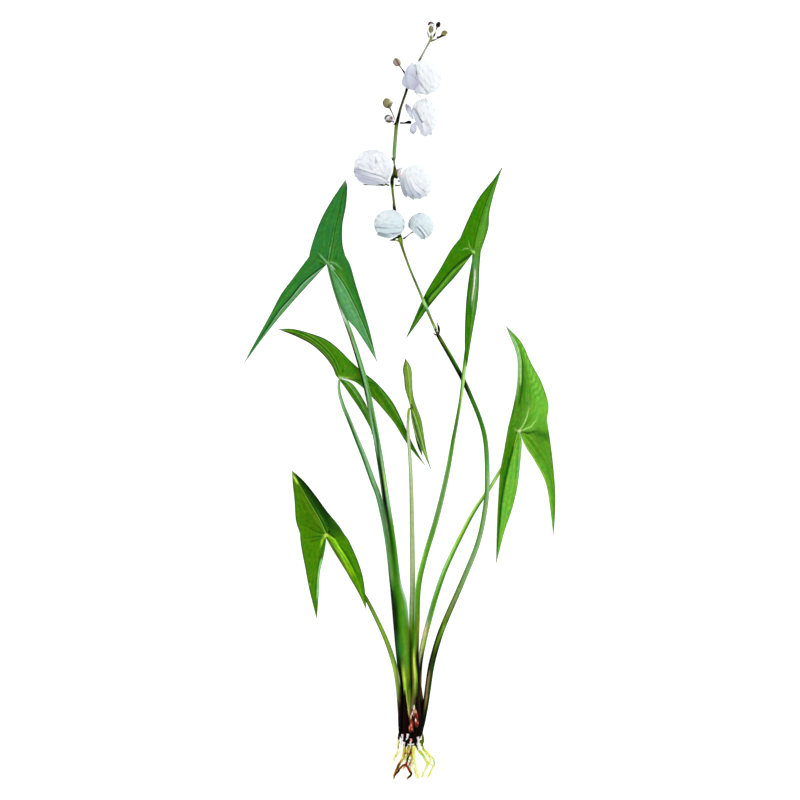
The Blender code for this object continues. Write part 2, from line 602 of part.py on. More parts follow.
def add_bud(collection, place, centre, radius, stretch, route):
    """A round bud that draws to a blunt point, away from its stalk."""
    bm = bmesh.new()
    bmesh.ops.create_uvsphere(bm, u_segments=BUD_FACES[0], v_segments=BUD_FACES[1], radius=radius)
    away = (Vector(centre) - Vector(route[-1])).normalized()
    turn = Vector((0, 0, 1)).rotation_difference(away)
    for vert in bm.verts:
        rise = vert.co.z / radius
        width = 1.0 - BUD_TAPER * max(rise, 0.0) ** 2
        local = Vector((vert.co.x * width, vert.co.y * width, vert.co.z * stretch))
        vert.co = Vector(centre) + turn @ local
    orient(bm)
    return add_mesh(collection, f"bud_{place}", "bud", bm)


def add_cone_piece(collection, name, kind, foot, tip, width, depth):
    """A pointed piece from its foot to its tip, flat or round: a bract or a young shoot."""
    foot, tip = Vector(foot), Vector(tip)
    bm = bmesh.new()
    bmesh.ops.create_cone(bm, cap_ends=True, segments=CONE_SIDES, radius1=0.5, radius2=0.5 * CONE_TIP,
                          depth=(tip - foot).length)
    turn = Vector((0, 0, 1)).rotation_difference((tip - foot).normalized())
    flat = Matrix.Diagonal((width, depth, 1.0))
    middle = (foot + tip) / 2
    for vert in bm.verts:
        vert.co = middle + turn @ (flat @ vert.co)
    orient(bm)
    return add_mesh(collection, name, kind, bm)


def add_corm(collection):
    """The corm: an egg of solid tissue, flat where it rests."""
    bm = bmesh.new()
    bmesh.ops.create_uvsphere(bm, u_segments=CORM_FACES[0], v_segments=CORM_FACES[1], radius=1.0)
    for vert in bm.verts:
        vert.co = Vector(c + v * r for c, v, r in zip(CORM_CENTRE, vert.co, CORM_RADII))
    cut = bmesh.ops.bisect_plane(bm, geom=bm.verts[:] + bm.edges[:] + bm.faces[:], plane_co=(0, 0, 0),
                                 plane_no=(0, 0, -1), clear_outer=True)
    rim = [item for item in cut["geom_cut"] if isinstance(item, bmesh.types.BMEdge)]
    bmesh.ops.holes_fill(bm, edges=rim)
    orient(bm)
    return add_mesh(collection, "corm", "corm", bm)


def build():
    clear_objects()
    plant = bpy.data.collections.new("double_flowered_sagittaria")
    bpy.context.scene.collection.children.link(plant)
    for place, leaf in LEAVES.items():
        add_leaf_blade(plant, place, leaf)
        add_leaf_stalk(plant, place, LEAF_STALKS[place])
    add_flower_stalk(plant)
    for place, (centre, radii, facing, route) in FLOWERS.items():
        add_flower(plant, place, centre, radii, facing)
        add_thin_tube(plant, f"pedicel_{place}", "pedicel", route, PEDICEL_THICKNESS, PEDICEL_THICKNESS)
    for place, (centre, radius, stretch, route) in BUDS.items():
        add_bud(plant, place, centre, radius, stretch, route)
        add_thin_tube(plant, f"bud_stalk_{place}", "pedicel", route, BUD_STALK_THICKNESS, BUD_STALK_THICKNESS)
    for place, (foot, tip, width, depth) in BRACTS.items():
        add_cone_piece(plant, f"bract_{place}", "bract", foot, tip, width, depth)
    add_corm(plant)
    for place, (foot, tip, radius) in SHOOTS.items():
        add_cone_piece(plant, f"young_shoot_{place}", "young_shoot", foot, tip, 2 * radius, 2 * radius)
    for number, route in enumerate(ROOTS, start=1):
        add_thin_tube(plant, f"root_{number}", "root", route, *ROOT_THICKNESS)


build()
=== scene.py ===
"""The looks of a double-flowered sagittaria laid on a pale floor and seen from straight above.

All the lists are in millimetres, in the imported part's own frame: X to the right, Y towards the flowers,
Z up from the floor. Colours are sRGB from 0 to 255, and a row of colour names is spread evenly over what
it paints.
"""
import math

import bmesh
import bpy
import numpy as np
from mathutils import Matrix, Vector


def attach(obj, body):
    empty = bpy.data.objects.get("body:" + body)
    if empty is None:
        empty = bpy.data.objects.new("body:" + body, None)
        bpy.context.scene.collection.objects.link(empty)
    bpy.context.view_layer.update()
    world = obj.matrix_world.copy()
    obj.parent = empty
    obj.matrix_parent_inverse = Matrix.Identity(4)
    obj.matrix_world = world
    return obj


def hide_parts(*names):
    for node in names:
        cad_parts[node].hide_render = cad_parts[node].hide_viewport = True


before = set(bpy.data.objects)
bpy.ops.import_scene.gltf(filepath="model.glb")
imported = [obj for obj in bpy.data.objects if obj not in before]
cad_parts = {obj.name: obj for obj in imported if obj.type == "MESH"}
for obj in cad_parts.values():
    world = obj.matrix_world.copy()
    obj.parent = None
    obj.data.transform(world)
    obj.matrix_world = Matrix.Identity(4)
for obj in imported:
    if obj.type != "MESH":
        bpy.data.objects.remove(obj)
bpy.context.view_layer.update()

MM = 0.001
GOLDEN_TURN = math.radians(137.508)  # from one petal of a ball to the next
WELD = 0.01              # points of a piece that are closer than this become one

PALETTE = {
    "black": (4, 8, 2), "bark": (18, 7, 2), "maroon": (78, 36, 30), "wine": (52, 24, 26),
    "plum": (84, 58, 68), "mauve": (142, 116, 132), "umber": (100, 84, 62), "bronze": (124, 100, 56),
    "taupe": (170, 154, 140), "rust": (150, 62, 12), "red": (150, 46, 32), "pink": (248, 140, 122),
    "blush": (240, 224, 224), "skin": (226, 176, 132), "tan": (168, 138, 84), "amber": (226, 172, 70),
    "cream": (250, 246, 205), "straw": (250, 248, 160), "yellow": (222, 228, 70), "ash": (150, 158, 142),
    "stone": (134, 142, 104), "khaki": (148, 146, 104), "iron": (112, 118, 108), "dusk": (44, 60, 12),
    "olive": (104, 128, 26), "pea": (122, 158, 60), "moss": (66, 118, 2), "night": (18, 58, 4),
    "deep": (16, 70, 8), "shade": (44, 102, 14), "blue": (46, 122, 48), "fern": (46, 120, 32),
    "leaf": (58, 128, 4), "spring": (70, 132, 4), "meadow": (80, 144, 30), "pasture": (94, 162, 34),
    "grass": (92, 156, 46), "fresh": (108, 182, 54), "acid": (122, 184, 8), "lime": (168, 214, 66),
    "spark": (168, 236, 48), "glow": (206, 246, 84), "flash": (255, 255, 120), "lemon": (180, 234, 124),
    "apple": (150, 228, 128), "pear": (172, 192, 134), "pale": (198, 214, 172), "celadon": (146, 176, 124),
    "sage": (116, 160, 100), "jade": (88, 156, 92), "mint": (148, 204, 146), "sheen": (206, 232, 208),
    "snow": (243, 248, 252), "pearl": (242, 245, 250), "ice": (226, 239, 244), "frost": (212, 228, 234),
    "cloud": (206, 213, 224), "mist": (214, 218, 232), "lilac": (200, 201, 219), "haze": (186, 190, 208),
    "dove": (168, 174, 188), "gull": (150, 164, 168), "lead": (132, 136, 150),
}
# How bright a white surface shows under the studio light, so that the palette holds colours as they show.
STUDIO_LIGHT = 1.25

BLADE_ROWS = 96          # of points along each half of a lobe
BLADE_COLUMNS = 26       # of points across it
BLADE_BOW = 0.05         # how far a strip bulges up between vein and margin, as a share of its width
BLADE_THICKNESS = 0.75
BLADE_RAISE = 0.25       # from the middle of the solid's thickness up to the upper skin
BLADE_LINES = (0.2, 0.4, 0.6, 0.8)  # places across a strip of its fine lengthwise veins
LINE_DEPTH = 0.10        # of the fine veins and the ripples
RIB_DEPTH = 0.22
MARGIN_WAVE = 0.35       # how far the margin waves up and down

# Leaves as seen from above, from the junction of blade and stalk outwards. Each lobe has its tip, how high
# the middles of its vein and of its two margins lie, and then the plans of these three lines.
LEAVES = {
    "upper_left": {
        "junction": (-54, 103, 17), "shoulders": ((-68, 108, 14.5), (-41, 109, 15)),
        "front": ((-41, 166, 1), (13.5, 10.5, 11.5), ((-50, 124), (-46, 143), (-42.5, 160)),
            ((-67, 113), (-64, 123), (-59, 136), (-52, 149)),
            ((-43, 118), (-43, 132), (-40.5, 146), (-39.5, 160))),
        "left": ((-117, 28, 0.8), (10.5, 8, 7), ((-71, 90), (-82, 77), (-93, 64)),
            ((-80, 92), (-89, 80), (-97, 65), (-112, 38)), ((-65, 91), (-84, 70), (-99, 52))),
        "right": ((-17, 29, 0.8), (11, 8, 12), ((-43, 88), (-35, 73), (-28, 58), (-22, 43)),
            ((-37, 101), (-33, 87), (-28, 71), (-23, 54)),
            ((-49, 83), (-45, 72), (-40, 62), (-33, 54), (-25, 42)))},
    "upper_right": {
        "junction": (55, 111, 14), "shoulders": ((45, 122, 11.5), (60.5, 112, 12.5)),
        "front": ((77, 176, 1.5), (11, 8.5, 8), ((57, 122), (62, 140), (69, 159)),
            ((51, 136), (59, 152), (70, 166)), ((66, 129), (67, 141), (70, 154), (75, 170))),
        "left": ((4, 46, 0.8), (3.4, 2.7, 3.1), ((40, 99), (29, 86), (20, 75)),
            ((38, 113), (30, 99), (22, 86), (16, 74)), ((42, 94), (32, 83), (22, 71), (15, 61))),
        "right": ((50, 25, 12.8), (15, 13.4, 13.6), ((56.5, 94), (54, 70), (51.5, 45)),
            ((59.5, 100), (59, 85), (57.5, 70), (54, 50)), ((51.5, 92), (49.5, 75), (48.5, 55), (48.5, 38)))},
    "middle_left": {
        "junction": (-45, 17, 5.4), "shoulders": ((-48, 19, 3.4), (-37, 30, 5.2)),
        "front": ((-92, 54, 1.8), (7.5, 3.4, 5.6), ((-51, 31), (-61, 42), (-74, 50)),
            ((-51, 26), (-57, 34), (-66, 42), (-77, 48)), ((-46, 39), (-55, 46), (-65, 50), (-80, 54))),
        "left": ((-20, -27, 0.8), (3.4, 2.2, 2.6), ((-37, 9), (-30, -2), (-25, -13)),
            ((-44, 14), (-37, 4), (-29, -8), (-22, -21)), ((-36, 13), (-28, 2), (-23, -9))),
        "right": ((20, -50, 0.8), (3.2, 2.4, 2.2), ((-22, 14), (-16, 7), (-5, -10), (7, -30)),
            ((-28, 22), (-18, 14), (-9, 4), (-2, -7), (10, -33)),
            ((-33, 14), (-21, 3), (-12, -7), (-4, -17), (6, -33)))},
    "young": {
        "junction": (8, -5, 10), "shoulders": ((6.2, 1, 8.2), (10.2, 3, 8.6)),
        "front": (
            (4, 32, 10), (13, 8.6, 8.8), ((7.2, 8), (6.6, 18), (5.4, 26)), ((3.8, 9), (3, 17), (2.2, 24)),
            ((9.4, 9), (9.2, 17), (8.2, 25))),
        "left": ((17, -42, 3.8), (6, 4.2, 4.4), ((10, -14), (12.4, -25), (14.8, -34)),
            ((8.8, -9), (9.4, -15), (11, -25), (13.6, -35)), ((10.8, -13), (13.8, -24), (16, -34))),
        "right": ((23, -51, 4.6), (10.2, 8.2, 8.4), ((11.5, -14), (15, -26), (18, -38)),
            ((12, -3), (16, -14), (18, -26), (20, -38)), ((8.6, -14), (11.6, -26), (17, -38)))},
    "right": {
        "junction": (89, -23, 14), "shoulders": ((81, -19, 11.5), (110, -14, 10.5)),
        "front": ((79, 57, 1), (12, 9.5, 8), ((94, -16), (97, -2), (94, 20), (89, 40)),
            ((84, -7), (87, 8), (88, 21), (87, 36)), ((111, -2), (106, 14), (98, 29), (91, 44))),
        "left": ((72, -123, 0.8), (8.5, 6.8, 6.5), ((82, -47), (77, -72), (74, -102)),
            ((78, -36), (75, -53), (73.5, -74), (72.5, -97)),
            ((91, -30), (90, -46), (88, -64), (84, -81), (78, -99))),
        "right": ((115, -102, 0.8), (8, 5, 7), ((99, -38), (108, -52), (112.5, -68), (114.5, -86)),
            ((112.5, -30), (115, -50), (116.5, -71), (116, -90)),
            ((94, -34), (101, -45), (109, -61), (112.5, -80)))},
    "lower_left": {
        "junction": (-55, -100, 12.5), "shoulders": ((-75, -99, 8.5), (-42, -99, 10.5)),
        "front": ((-81, -52, 1), (9.5, 5.6, 7.5), ((-60, -89), (-70, -72), (-79, -56)),
            ((-78, -89), (-79, -75), (-80.5, -61)), ((-46, -93), (-55, -82), (-63, -71), (-72, -60))),
        "left": ((-62.4, -164, 0.8), (7, 4.6, 5.4), ((-59, -110), (-62, -128), (-63.5, -144)),
            ((-74, -109), (-71, -125), (-68, -141)), ((-55.5, -106), (-57, -115), (-60, -129), (-61, -146))),
        "right": ((-25, -157, 7.6), (10.4, 8.2, 9.6), ((-44, -111), (-36, -124), (-30, -138)),
            ((-38, -105), (-31, -121), (-27, -136)), ((-52, -106), (-46, -117), (-39, -130), (-31, -144)))},
}
# The half of a lobe that each half lies beside at the junction.
NEIGHBOURS = {("front", 0): ("left", 0), ("front", 1): ("right", 0), ("left", 0): ("front", 0),
              ("right", 0): ("front", 1)}
# Each lobe has its rib (colour, half width, strength), then for its left and its right half the colours from
# vein to margin and the strokes: colour, distance from the vein or (below zero) from the margin, half width,
# where it begins and ends along the lobe, strength. Veins and marks: colour, half width, strength, the line
# in
# plan. Ripples: the half that they cross, where they begin and end, their number and strength. Much of this
# is
# painted light: dark strokes along folds, dark halves and dark marks in gaps and where stalks cross over the
# blades are painted shade and shadow, and pale sheen, snow and glow strokes are painted highlights.
LEAF_PAINT = {
    "upper_left": {
        "tip": "ash", "edge": "deep", "star": "mint",
        "front": (("grass", 0.3, 0.5),
            ("blue", ("deep", 1.1, 0.4, 0, 0.5, 0.4), ("deep", -0.4, 0.6, 0.2, 1, 0.4)),
            ("fern blue blue", ("mint", 0.1, 0.4, 0.02, 0.4, 0.6), ("deep", 1, 0.45, 0, 0.9, 0.75),
             ("deep", -0.6, 0.8, 0.15, 1, 0.6), ("grass", 2.6, 0.6, 0.05, 0.5, 0.3))),
        # painted shade: the dark rib and the deep stroke along the left lobe's fold; the sheen stroke on its
        # inner strip is a painted reflection
        "left": (("deep", 0.55, 0.9),
            ("blue blue fern", ("deep", 0.6, 0.55, 0.02, 0.85, 0.9), ("grass", 3.6, 0.9, 0.25, 0.8, 0.35)),
            ("deep jade jade sage", ("sheen", 1, 0.3, 0.05, 0.65, 0.7), ("blue", -0.4, 0.5, 0.1, 0.8, 0.6))),
        "right": (("mint", 0.34, 0.85),
            ("meadow fern blue", ("deep", 0.7, 0.5, 0.06, 0.9, 0.85), ("jade", 2.2, 0.5, 0.1, 0.8, 0.4),
             ("deep", -1.3, 0.6, 0.1, 0.7, 0.4)),
            # painted sheen: the pale jade of the right lobe's inner half, where it tilts towards the sky
            ("jade", ("blue", 1.3, 0.5, 0.06, 0.9, 0.5), ("mint", 3.4, 0.5, 0.15, 0.7, 0.3),
             ("blue", -1.4, 0.5, 0.1, 0.6, 0.5), ("deep", -0.3, 0.45, 0, 0.5, 0.8))),
        "veins": (("mint", 0.5, 0.8, (-55, 104), (-59, 108.5), (-62.5, 112)),
            ("deep", 0.55, 0.8, (-56.5, 103.6), (-60, 107), (-63.6, 110)),
            ("grass", 0.5, 0.7, (-56.2, 103), (-60, 105.2), (-65, 105)),
            ("night", 0.7, 0.8, (-57.4, 102.4), (-60.4, 103.2)),
            ("mint", 0.5, 0.6, (-52, 104), (-48, 102.6), (-42, 97)),
            ("deep", 0.5, 0.7, (-52, 102.6), (-48, 99.5), (-44, 92)),
            ("sheen", 0.5, 0.8, (-51.6, 101.6), (-48, 97)),
            ("deep", 0.9, 0.6, (-48.4, 106.6), (-46.6, 108)), ("moss", 2.4, 0.2, (-46, 112), (-44.6, 120)),
            ("deep", 0.9, 0.4, (-54, 106), (-52, 112)))},
    "upper_right": {
        "tip": "shade", "edge": "deep", "star": "lemon",
        "front": (("grass", 0.3, 0.5),
            ("leaf", ("deep", 0.7, 0.5, 0.05, 0.98, 0.7), ("night", -0.5, 0.5, 0.1, 1, 0.4)),
            ("meadow grass meadow", ("deep", 1, 0.4, 0.3, 0.95, 0.5), ("grass", 2.4, 0.45, 0.1, 0.6, 0.4),
             ("shade", -1.2, 0.6, 0.1, 0.9, 0.5))),
        "left": (("deep", 0.75, 0.95), ("leaf", ("deep", 0.5, 0.6, 0.05, 0.85, 0.9)),
            ("grass meadow shade", ("lime", 1.7, 0.3, 0.03, 0.7, 0.65), ("grass", 2, 0.4, 0, 0.7, 0.6))),
        "right": (("shade", 0.6, 0.5),
            ("meadow meadow shade", ("mint", 1, 0.35, 0.1, 0.6, 0.5), ("shade", 2.2, 0.5, 0.12, 0.9, 0.6),
             ("sage", -0.9, 0.35, 0.1, 0.7, 0.5), ("wine", -0.3, 0.35, 0.12, 0.6, 0.6)),
            # painted highlight: the pale and snow strokes along the right lobe's fold
            ("shade leaf shade", ("pale", 0.4, 1.15, 0.14, 0.5, 1), ("snow", 0.2, 0.55, 0.18, 0.42, 0.9),
             ("deep", 1.9, 0.5, 0.1, 0.6, 0.6), ("leaf", 1.6, 0.8, 0.55, 1, 0.6))),
        "veins": (("lemon", 0.5, 0.55, (54.4, 111.6), (51.4, 114.2), (48.6, 114), (44, 111.6)),
            ("lemon", 0.45, 0.4, (54, 112.4), (51.8, 116), (51, 122)),
            ("deep", 0.4, 0.6, (54.4, 111), (51, 112.4), (48.6, 112.4)),
            # painted shade: the black mark in the gap between the lobes at the junction
            ("deep", 0.6, 0.6, (53, 113.4), (50, 116)), ("black", 1, 0.95, (53.4, 107.8), (51, 106)),
            ("lemon", 0.9, 1, (55, 111.6), (54.8, 110.4)), ("jade", 2, 0.75, (56, 106), (56, 97)),
            # painted shadow: the night marks where the flower stalk crosses over the left lobe
            ("night", 0.9, 0.95, (15.2, 79.4), (17.2, 76.6)), ("night", 1, 0.95, (20.6, 73.6), (22.2, 71)),
            ("night", 1.3, 0.9, (17.4, 79.4), (20.6, 75.4), (22.8, 71)))},
    "middle_left": {
        "tip": "ash", "edge": "night", "star": "lemon",
        "front": (("fresh", 0.4, 0.8),
            ("spring olive night", ("deep", 1.5, 0.65, 0.04, 0.95, 0.85),
             ("meadow", 3.1, 0.55, 0.04, 0.85, 0.8), ("deep", 4.4, 0.5, 0.1, 0.7, 0.6),
             ("black", -0.7, 1, 0, 1, 0.85)),
            ("spring", ("deep", 1.3, 0.6, 0.05, 0.85, 0.85), ("grass", 2.7, 0.5, 0.08, 0.85, 0.8),
             ("shade", 4.2, 0.7, 0.08, 0.75, 0.7), ("grass", -1.5, 0.45, 0.1, 0.7, 0.7),
             ("black", -0.3, 0.5, 0.1, 0.85, 0.85))),
        "left": (("shade", 0.4, 0.6),
            ("leaf spring leaf", ("shade", 1.3, 0.5, 0.1, 0.8, 0.6), ("deep", -0.4, 0.5, 0.1, 0.9, 0.7)),
            ("spring grass grass", ("mint", 1, 0.4, 0.1, 0.7, 0.5))),
        "right": (("deep", 0.45, 0.7),
            ("spring meadow leaf", ("grass", 2.2, 0.45, 0.25, 0.95, 0.8),
             ("deep", 1.2, 0.4, 0.25, 0.9, 0.6), ("deep", -0.4, 0.5, 0.1, 0.9, 0.8)),
            ("leaf spring meadow", ("shade", 1.6, 0.5, 0.2, 0.9, 0.5), ("grass", 2.9, 0.4, 0.25, 0.9, 0.6),
             ("olive", -1, 0.8, 0.2, 0.8, 0.35))),
        "veins": (("sheen", 0.5, 0.9, (-45, 17.5), (-40, 16.6), (-34, 14), (-29, 10.6)),
            ("lime", 0.5, 0.5, (-45, 18.2), (-39, 18), (-33, 16)), ("deep", 0.9, 0.7, (-43, 22), (-42, 25)),
            # painted shade: the black mark at the left lobe's margin
            ("deep", 0.6, 0.7, (-44, 15), (-38, 11)), ("black", 1, 0.8, (-26.6, -0.6), (-25.4, -3.4)))},
    "young": {
        "tip": "dusk", "edge": "dusk", "star": "dusk",
        "front": (("lemon", 0.45, 0.6),
            ("pea pea olive", ("olive", 0.9, 0.4, 0.15, 0.95, 0.6), ("dusk", -0.4, 0.6, 0, 1, 0.8)),
            ("lime pea pea dusk", ("olive", 1.2, 0.4, 0.1, 0.9, 0.7), ("lemon", -1.1, 0.4, 0.3, 0.9, 0.5),
             ("dusk", -0.3, 0.5, 0, 1, 0.8))),
        "left": (("black", 0.5, 0.9), ("shade deep black",), ("black lemon ash",)),
        "right": (("deep", 0.4, 0.8),
            ("acid olive sage", ("lemon", 1.1, 0.5, 0.1, 0.9, 0.8), ("deep", 2.1, 0.5, 0.1, 0.8, 0.8),
             ("acid", 3.2, 0.6, 0.1, 0.9, 0.6), ("sage", -0.5, 0.5, 0.1, 0.7, 0.8)),
            ("lemon black lemon", ("black", 0.8, 0.4, 0.05, 0.7, 0.8))),
        "veins": (("black", 0.7, 0.9, (7.4, -9), (7.6, -14), (8.4, -20)),
            ("black", 0.8, 0.8, (8.6, -3), (9.8, -8)), ("dusk", 0.6, 0.7, (6, -2), (6.4, 6)),
            ("olive", 1, 0.7, (4.4, 30), (4.2, 25)))},
    "right": {
        "tip": "stone", "edge": "olive", "star": "lemon",
        "front": (("grass", 0.4, 0.3),
            # painted shade: the deep strokes inside the rolled left margin
            ("grass meadow meadow", ("mint", -1.6, 2, 0.5, 1, 0.85), ("mint", -0.5, 0.8, 0.28, 1, 0.7),
             ("lemon", -2.7, 0.6, 0.42, 0.95, 0.95), ("deep", -4.2, 1, 0.22, 0.94, 0.85),
             ("leaf", -6, 1.4, 0.1, 0.75, 0.6), ("deep", -0.8, 0.8, 0.08, 0.34, 0.6)),
            ("pasture fresh fresh", ("leaf", 1.5, 1.2, 0.3, 0.95, 0.5), ("shade", -0.5, 0.5, 0.2, 1, 0.4))),
        "left": (("deep", 0.6, 0.9),
            ("leaf", ("deep", 0.9, 0.7, 0.05, 0.9, 0.75), ("meadow", -1, 0.6, 0.35, 0.9, 0.6),
             ("olive", -1.2, 0.6, 0.05, 0.5, 0.4)),
            ("fresh", ("fresh", 1.2, 0.5, 0, 0.75, 0.7), ("mint", -0.8, 0.5, 0.1, 0.45, 0.5),
             ("leaf", -2.4, 0.6, 0, 0.4, 0.5))),
        "right": (("fresh", 0.5, 0.4),
            ("pasture meadow pasture", ("leaf", 3.4, 1.4, 0.02, 0.35, 0.6),
             ("shade", -0.6, 0.6, 0.1, 0.95, 0.6)),
            ("pasture fresh pasture", ("lime", -0.6, 0.5, 0.06, 0.8, 0.6),
             ("shade", 0.6, 0.4, 0.1, 0.6, 0.4))),
        "veins": (("lemon", 0.6, 0.85, (89, -23), (93, -21.3), (97.5, -19.5), (101.3, -15), (104.3, -7.5)),
            ("lemon", 0.6, 0.85, (89, -22.6), (92, -18.5), (94.6, -13), (96.4, -6), (96.8, 2)),
            ("shade", 0.5, 0.6, (91, -21.6), (94, -17.4), (96, -12.5), (97.8, -6)),
            ("lemon", 0.45, 0.7, (88, -22.6), (84.5, -19.8)),
            # painted shade: the deep streak and the shade band to the right of the junction
            ("deep", 1, 0.95, (91, -23.4), (96, -24), (101, -22.6), (107, -20.6)),
            ("shade", 3.4, 0.75, (109.5, -26.4), (97, -23)),
            ("leaf", 0.7, 0.7, (94, -17.5), (98, -13), (100, -8)),
            ("lime", 0.45, 0.3, (91, -25), (98, -33), (104, -43)),
            ("lime", 0.4, 0.5, (92, -24), (98, -27), (101.6, -32)),
            ("lime", 0.5, 0.8, (88, -25), (86, -32), (84.6, -40)),
            ("deep", 0.7, 0.8, (87.4, -22.8), (86.2, -25.5)),
            ("cream", 1, 0.95, (89.2, -22.6), (88.6, -23.6))), "ripples": ("front", 1, 0.2, 0.75, 15, 0.38)},
    "lower_left": {
        "tip": "olive", "edge": "dusk", "star": "glow",
        "front": (("lime", 0.35, 0.6),
            # painted highlight: the glow stroke at the front tip
            ("moss moss spring", ("glow", 1, 0.9, 0.78, 1, 0.9), ("shade", 1, 0.4, 0.05, 0.7, 0.5),
             ("olive", 3.4, 1.2, 0.1, 0.8, 0.3), ("dusk", -0.4, 0.7, 0.05, 0.9, 0.5)),
            # painted shade: the dark right half of the front lobe with its black strokes, and the wide shade
            # mark by the junction
            ("shade night night", ("black", 0.8, 0.45, 0, 0.9, 0.75), ("meadow", 2.2, 0.4, 0, 0.45, 0.5),
             ("black", -0.8, 1.2, 0.3, 1, 0.5))),
        "left": (("shade", 0.6, 0.4), ("spring", ("dusk", -0.4, 0.6, 0.05, 0.9, 0.4)),
            # painted highlight: the apple stroke along the left lobe's inner margin
            ("spring shade grass", ("apple", -0.9, 1.1, 0.3, 0.82, 1), ("deep", -2.6, 0.7, 0.25, 0.85, 0.6))),
        "right": (("leaf", 0.5, 0.4),
            ("leaf spring spring", ("deep", 1, 0.6, 0.02, 0.6, 0.85), ("shade", -0.4, 0.6, 0.1, 0.95, 0.6)),
            ("acid acid olive", ("spring", 2, 2.2, 0.55, 1, 0.8), ("moss", 1.7, 0.4, 0.05, 0.6, 0.6),
             ("lime", 2.7, 0.4, 0.03, 0.5, 0.6), ("shade", -0.6, 0.6, 0.15, 0.9, 0.6))),
        "veins": (("shade", 4.6, 0.7, (-48, -90), (-43, -96)),
            ("spark", 0.75, 1, (-52.5, -100.9), (-49, -104), (-44.3, -111.8), (-36.5, -123.8)),
            ("spark", 0.8, 1, (-55.5, -100.5), (-58, -103.5), (-60, -111.6)),
            ("glow", 1.2, 1, (-56.4, -101), (-52.4, -100.6)),
            ("deep", 0.6, 0.7, (-57, -99.5), (-66, -96), (-74, -90.5)),
            ("deep", 0.6, 0.7, (-57, -101), (-66, -102), (-73, -103)),
            ("deep", 0.6, 0.6, (-57, -102.4), (-66, -105), (-72, -106)),
            ("deep", 0.5, 0.6, (-57, -98.5), (-62, -93), (-70, -89.5)),
            ("grass", 0.45, 0.5, (-57, -97.5), (-61, -90), (-66, -84)),
            ("grass", 0.45, 0.5, (-57, -100.2), (-68, -99.6)),
            ("grass", 0.45, 0.5, (-57, -101.8), (-64, -103.6)),
            ("black", 1.2, 0.95, (-53.4, -98.6), (-52.4, -96)),
            ("deep", 0.5, 0.7, (-50.6, -99), (-47, -96.4)),
            ("black", 0.9, 0.8, (-52, -100.2), (-48, -102.6)),
            ("lime", 0.7, 0.6, (-67.6, -137.4), (-66.8, -137.8)))},
}

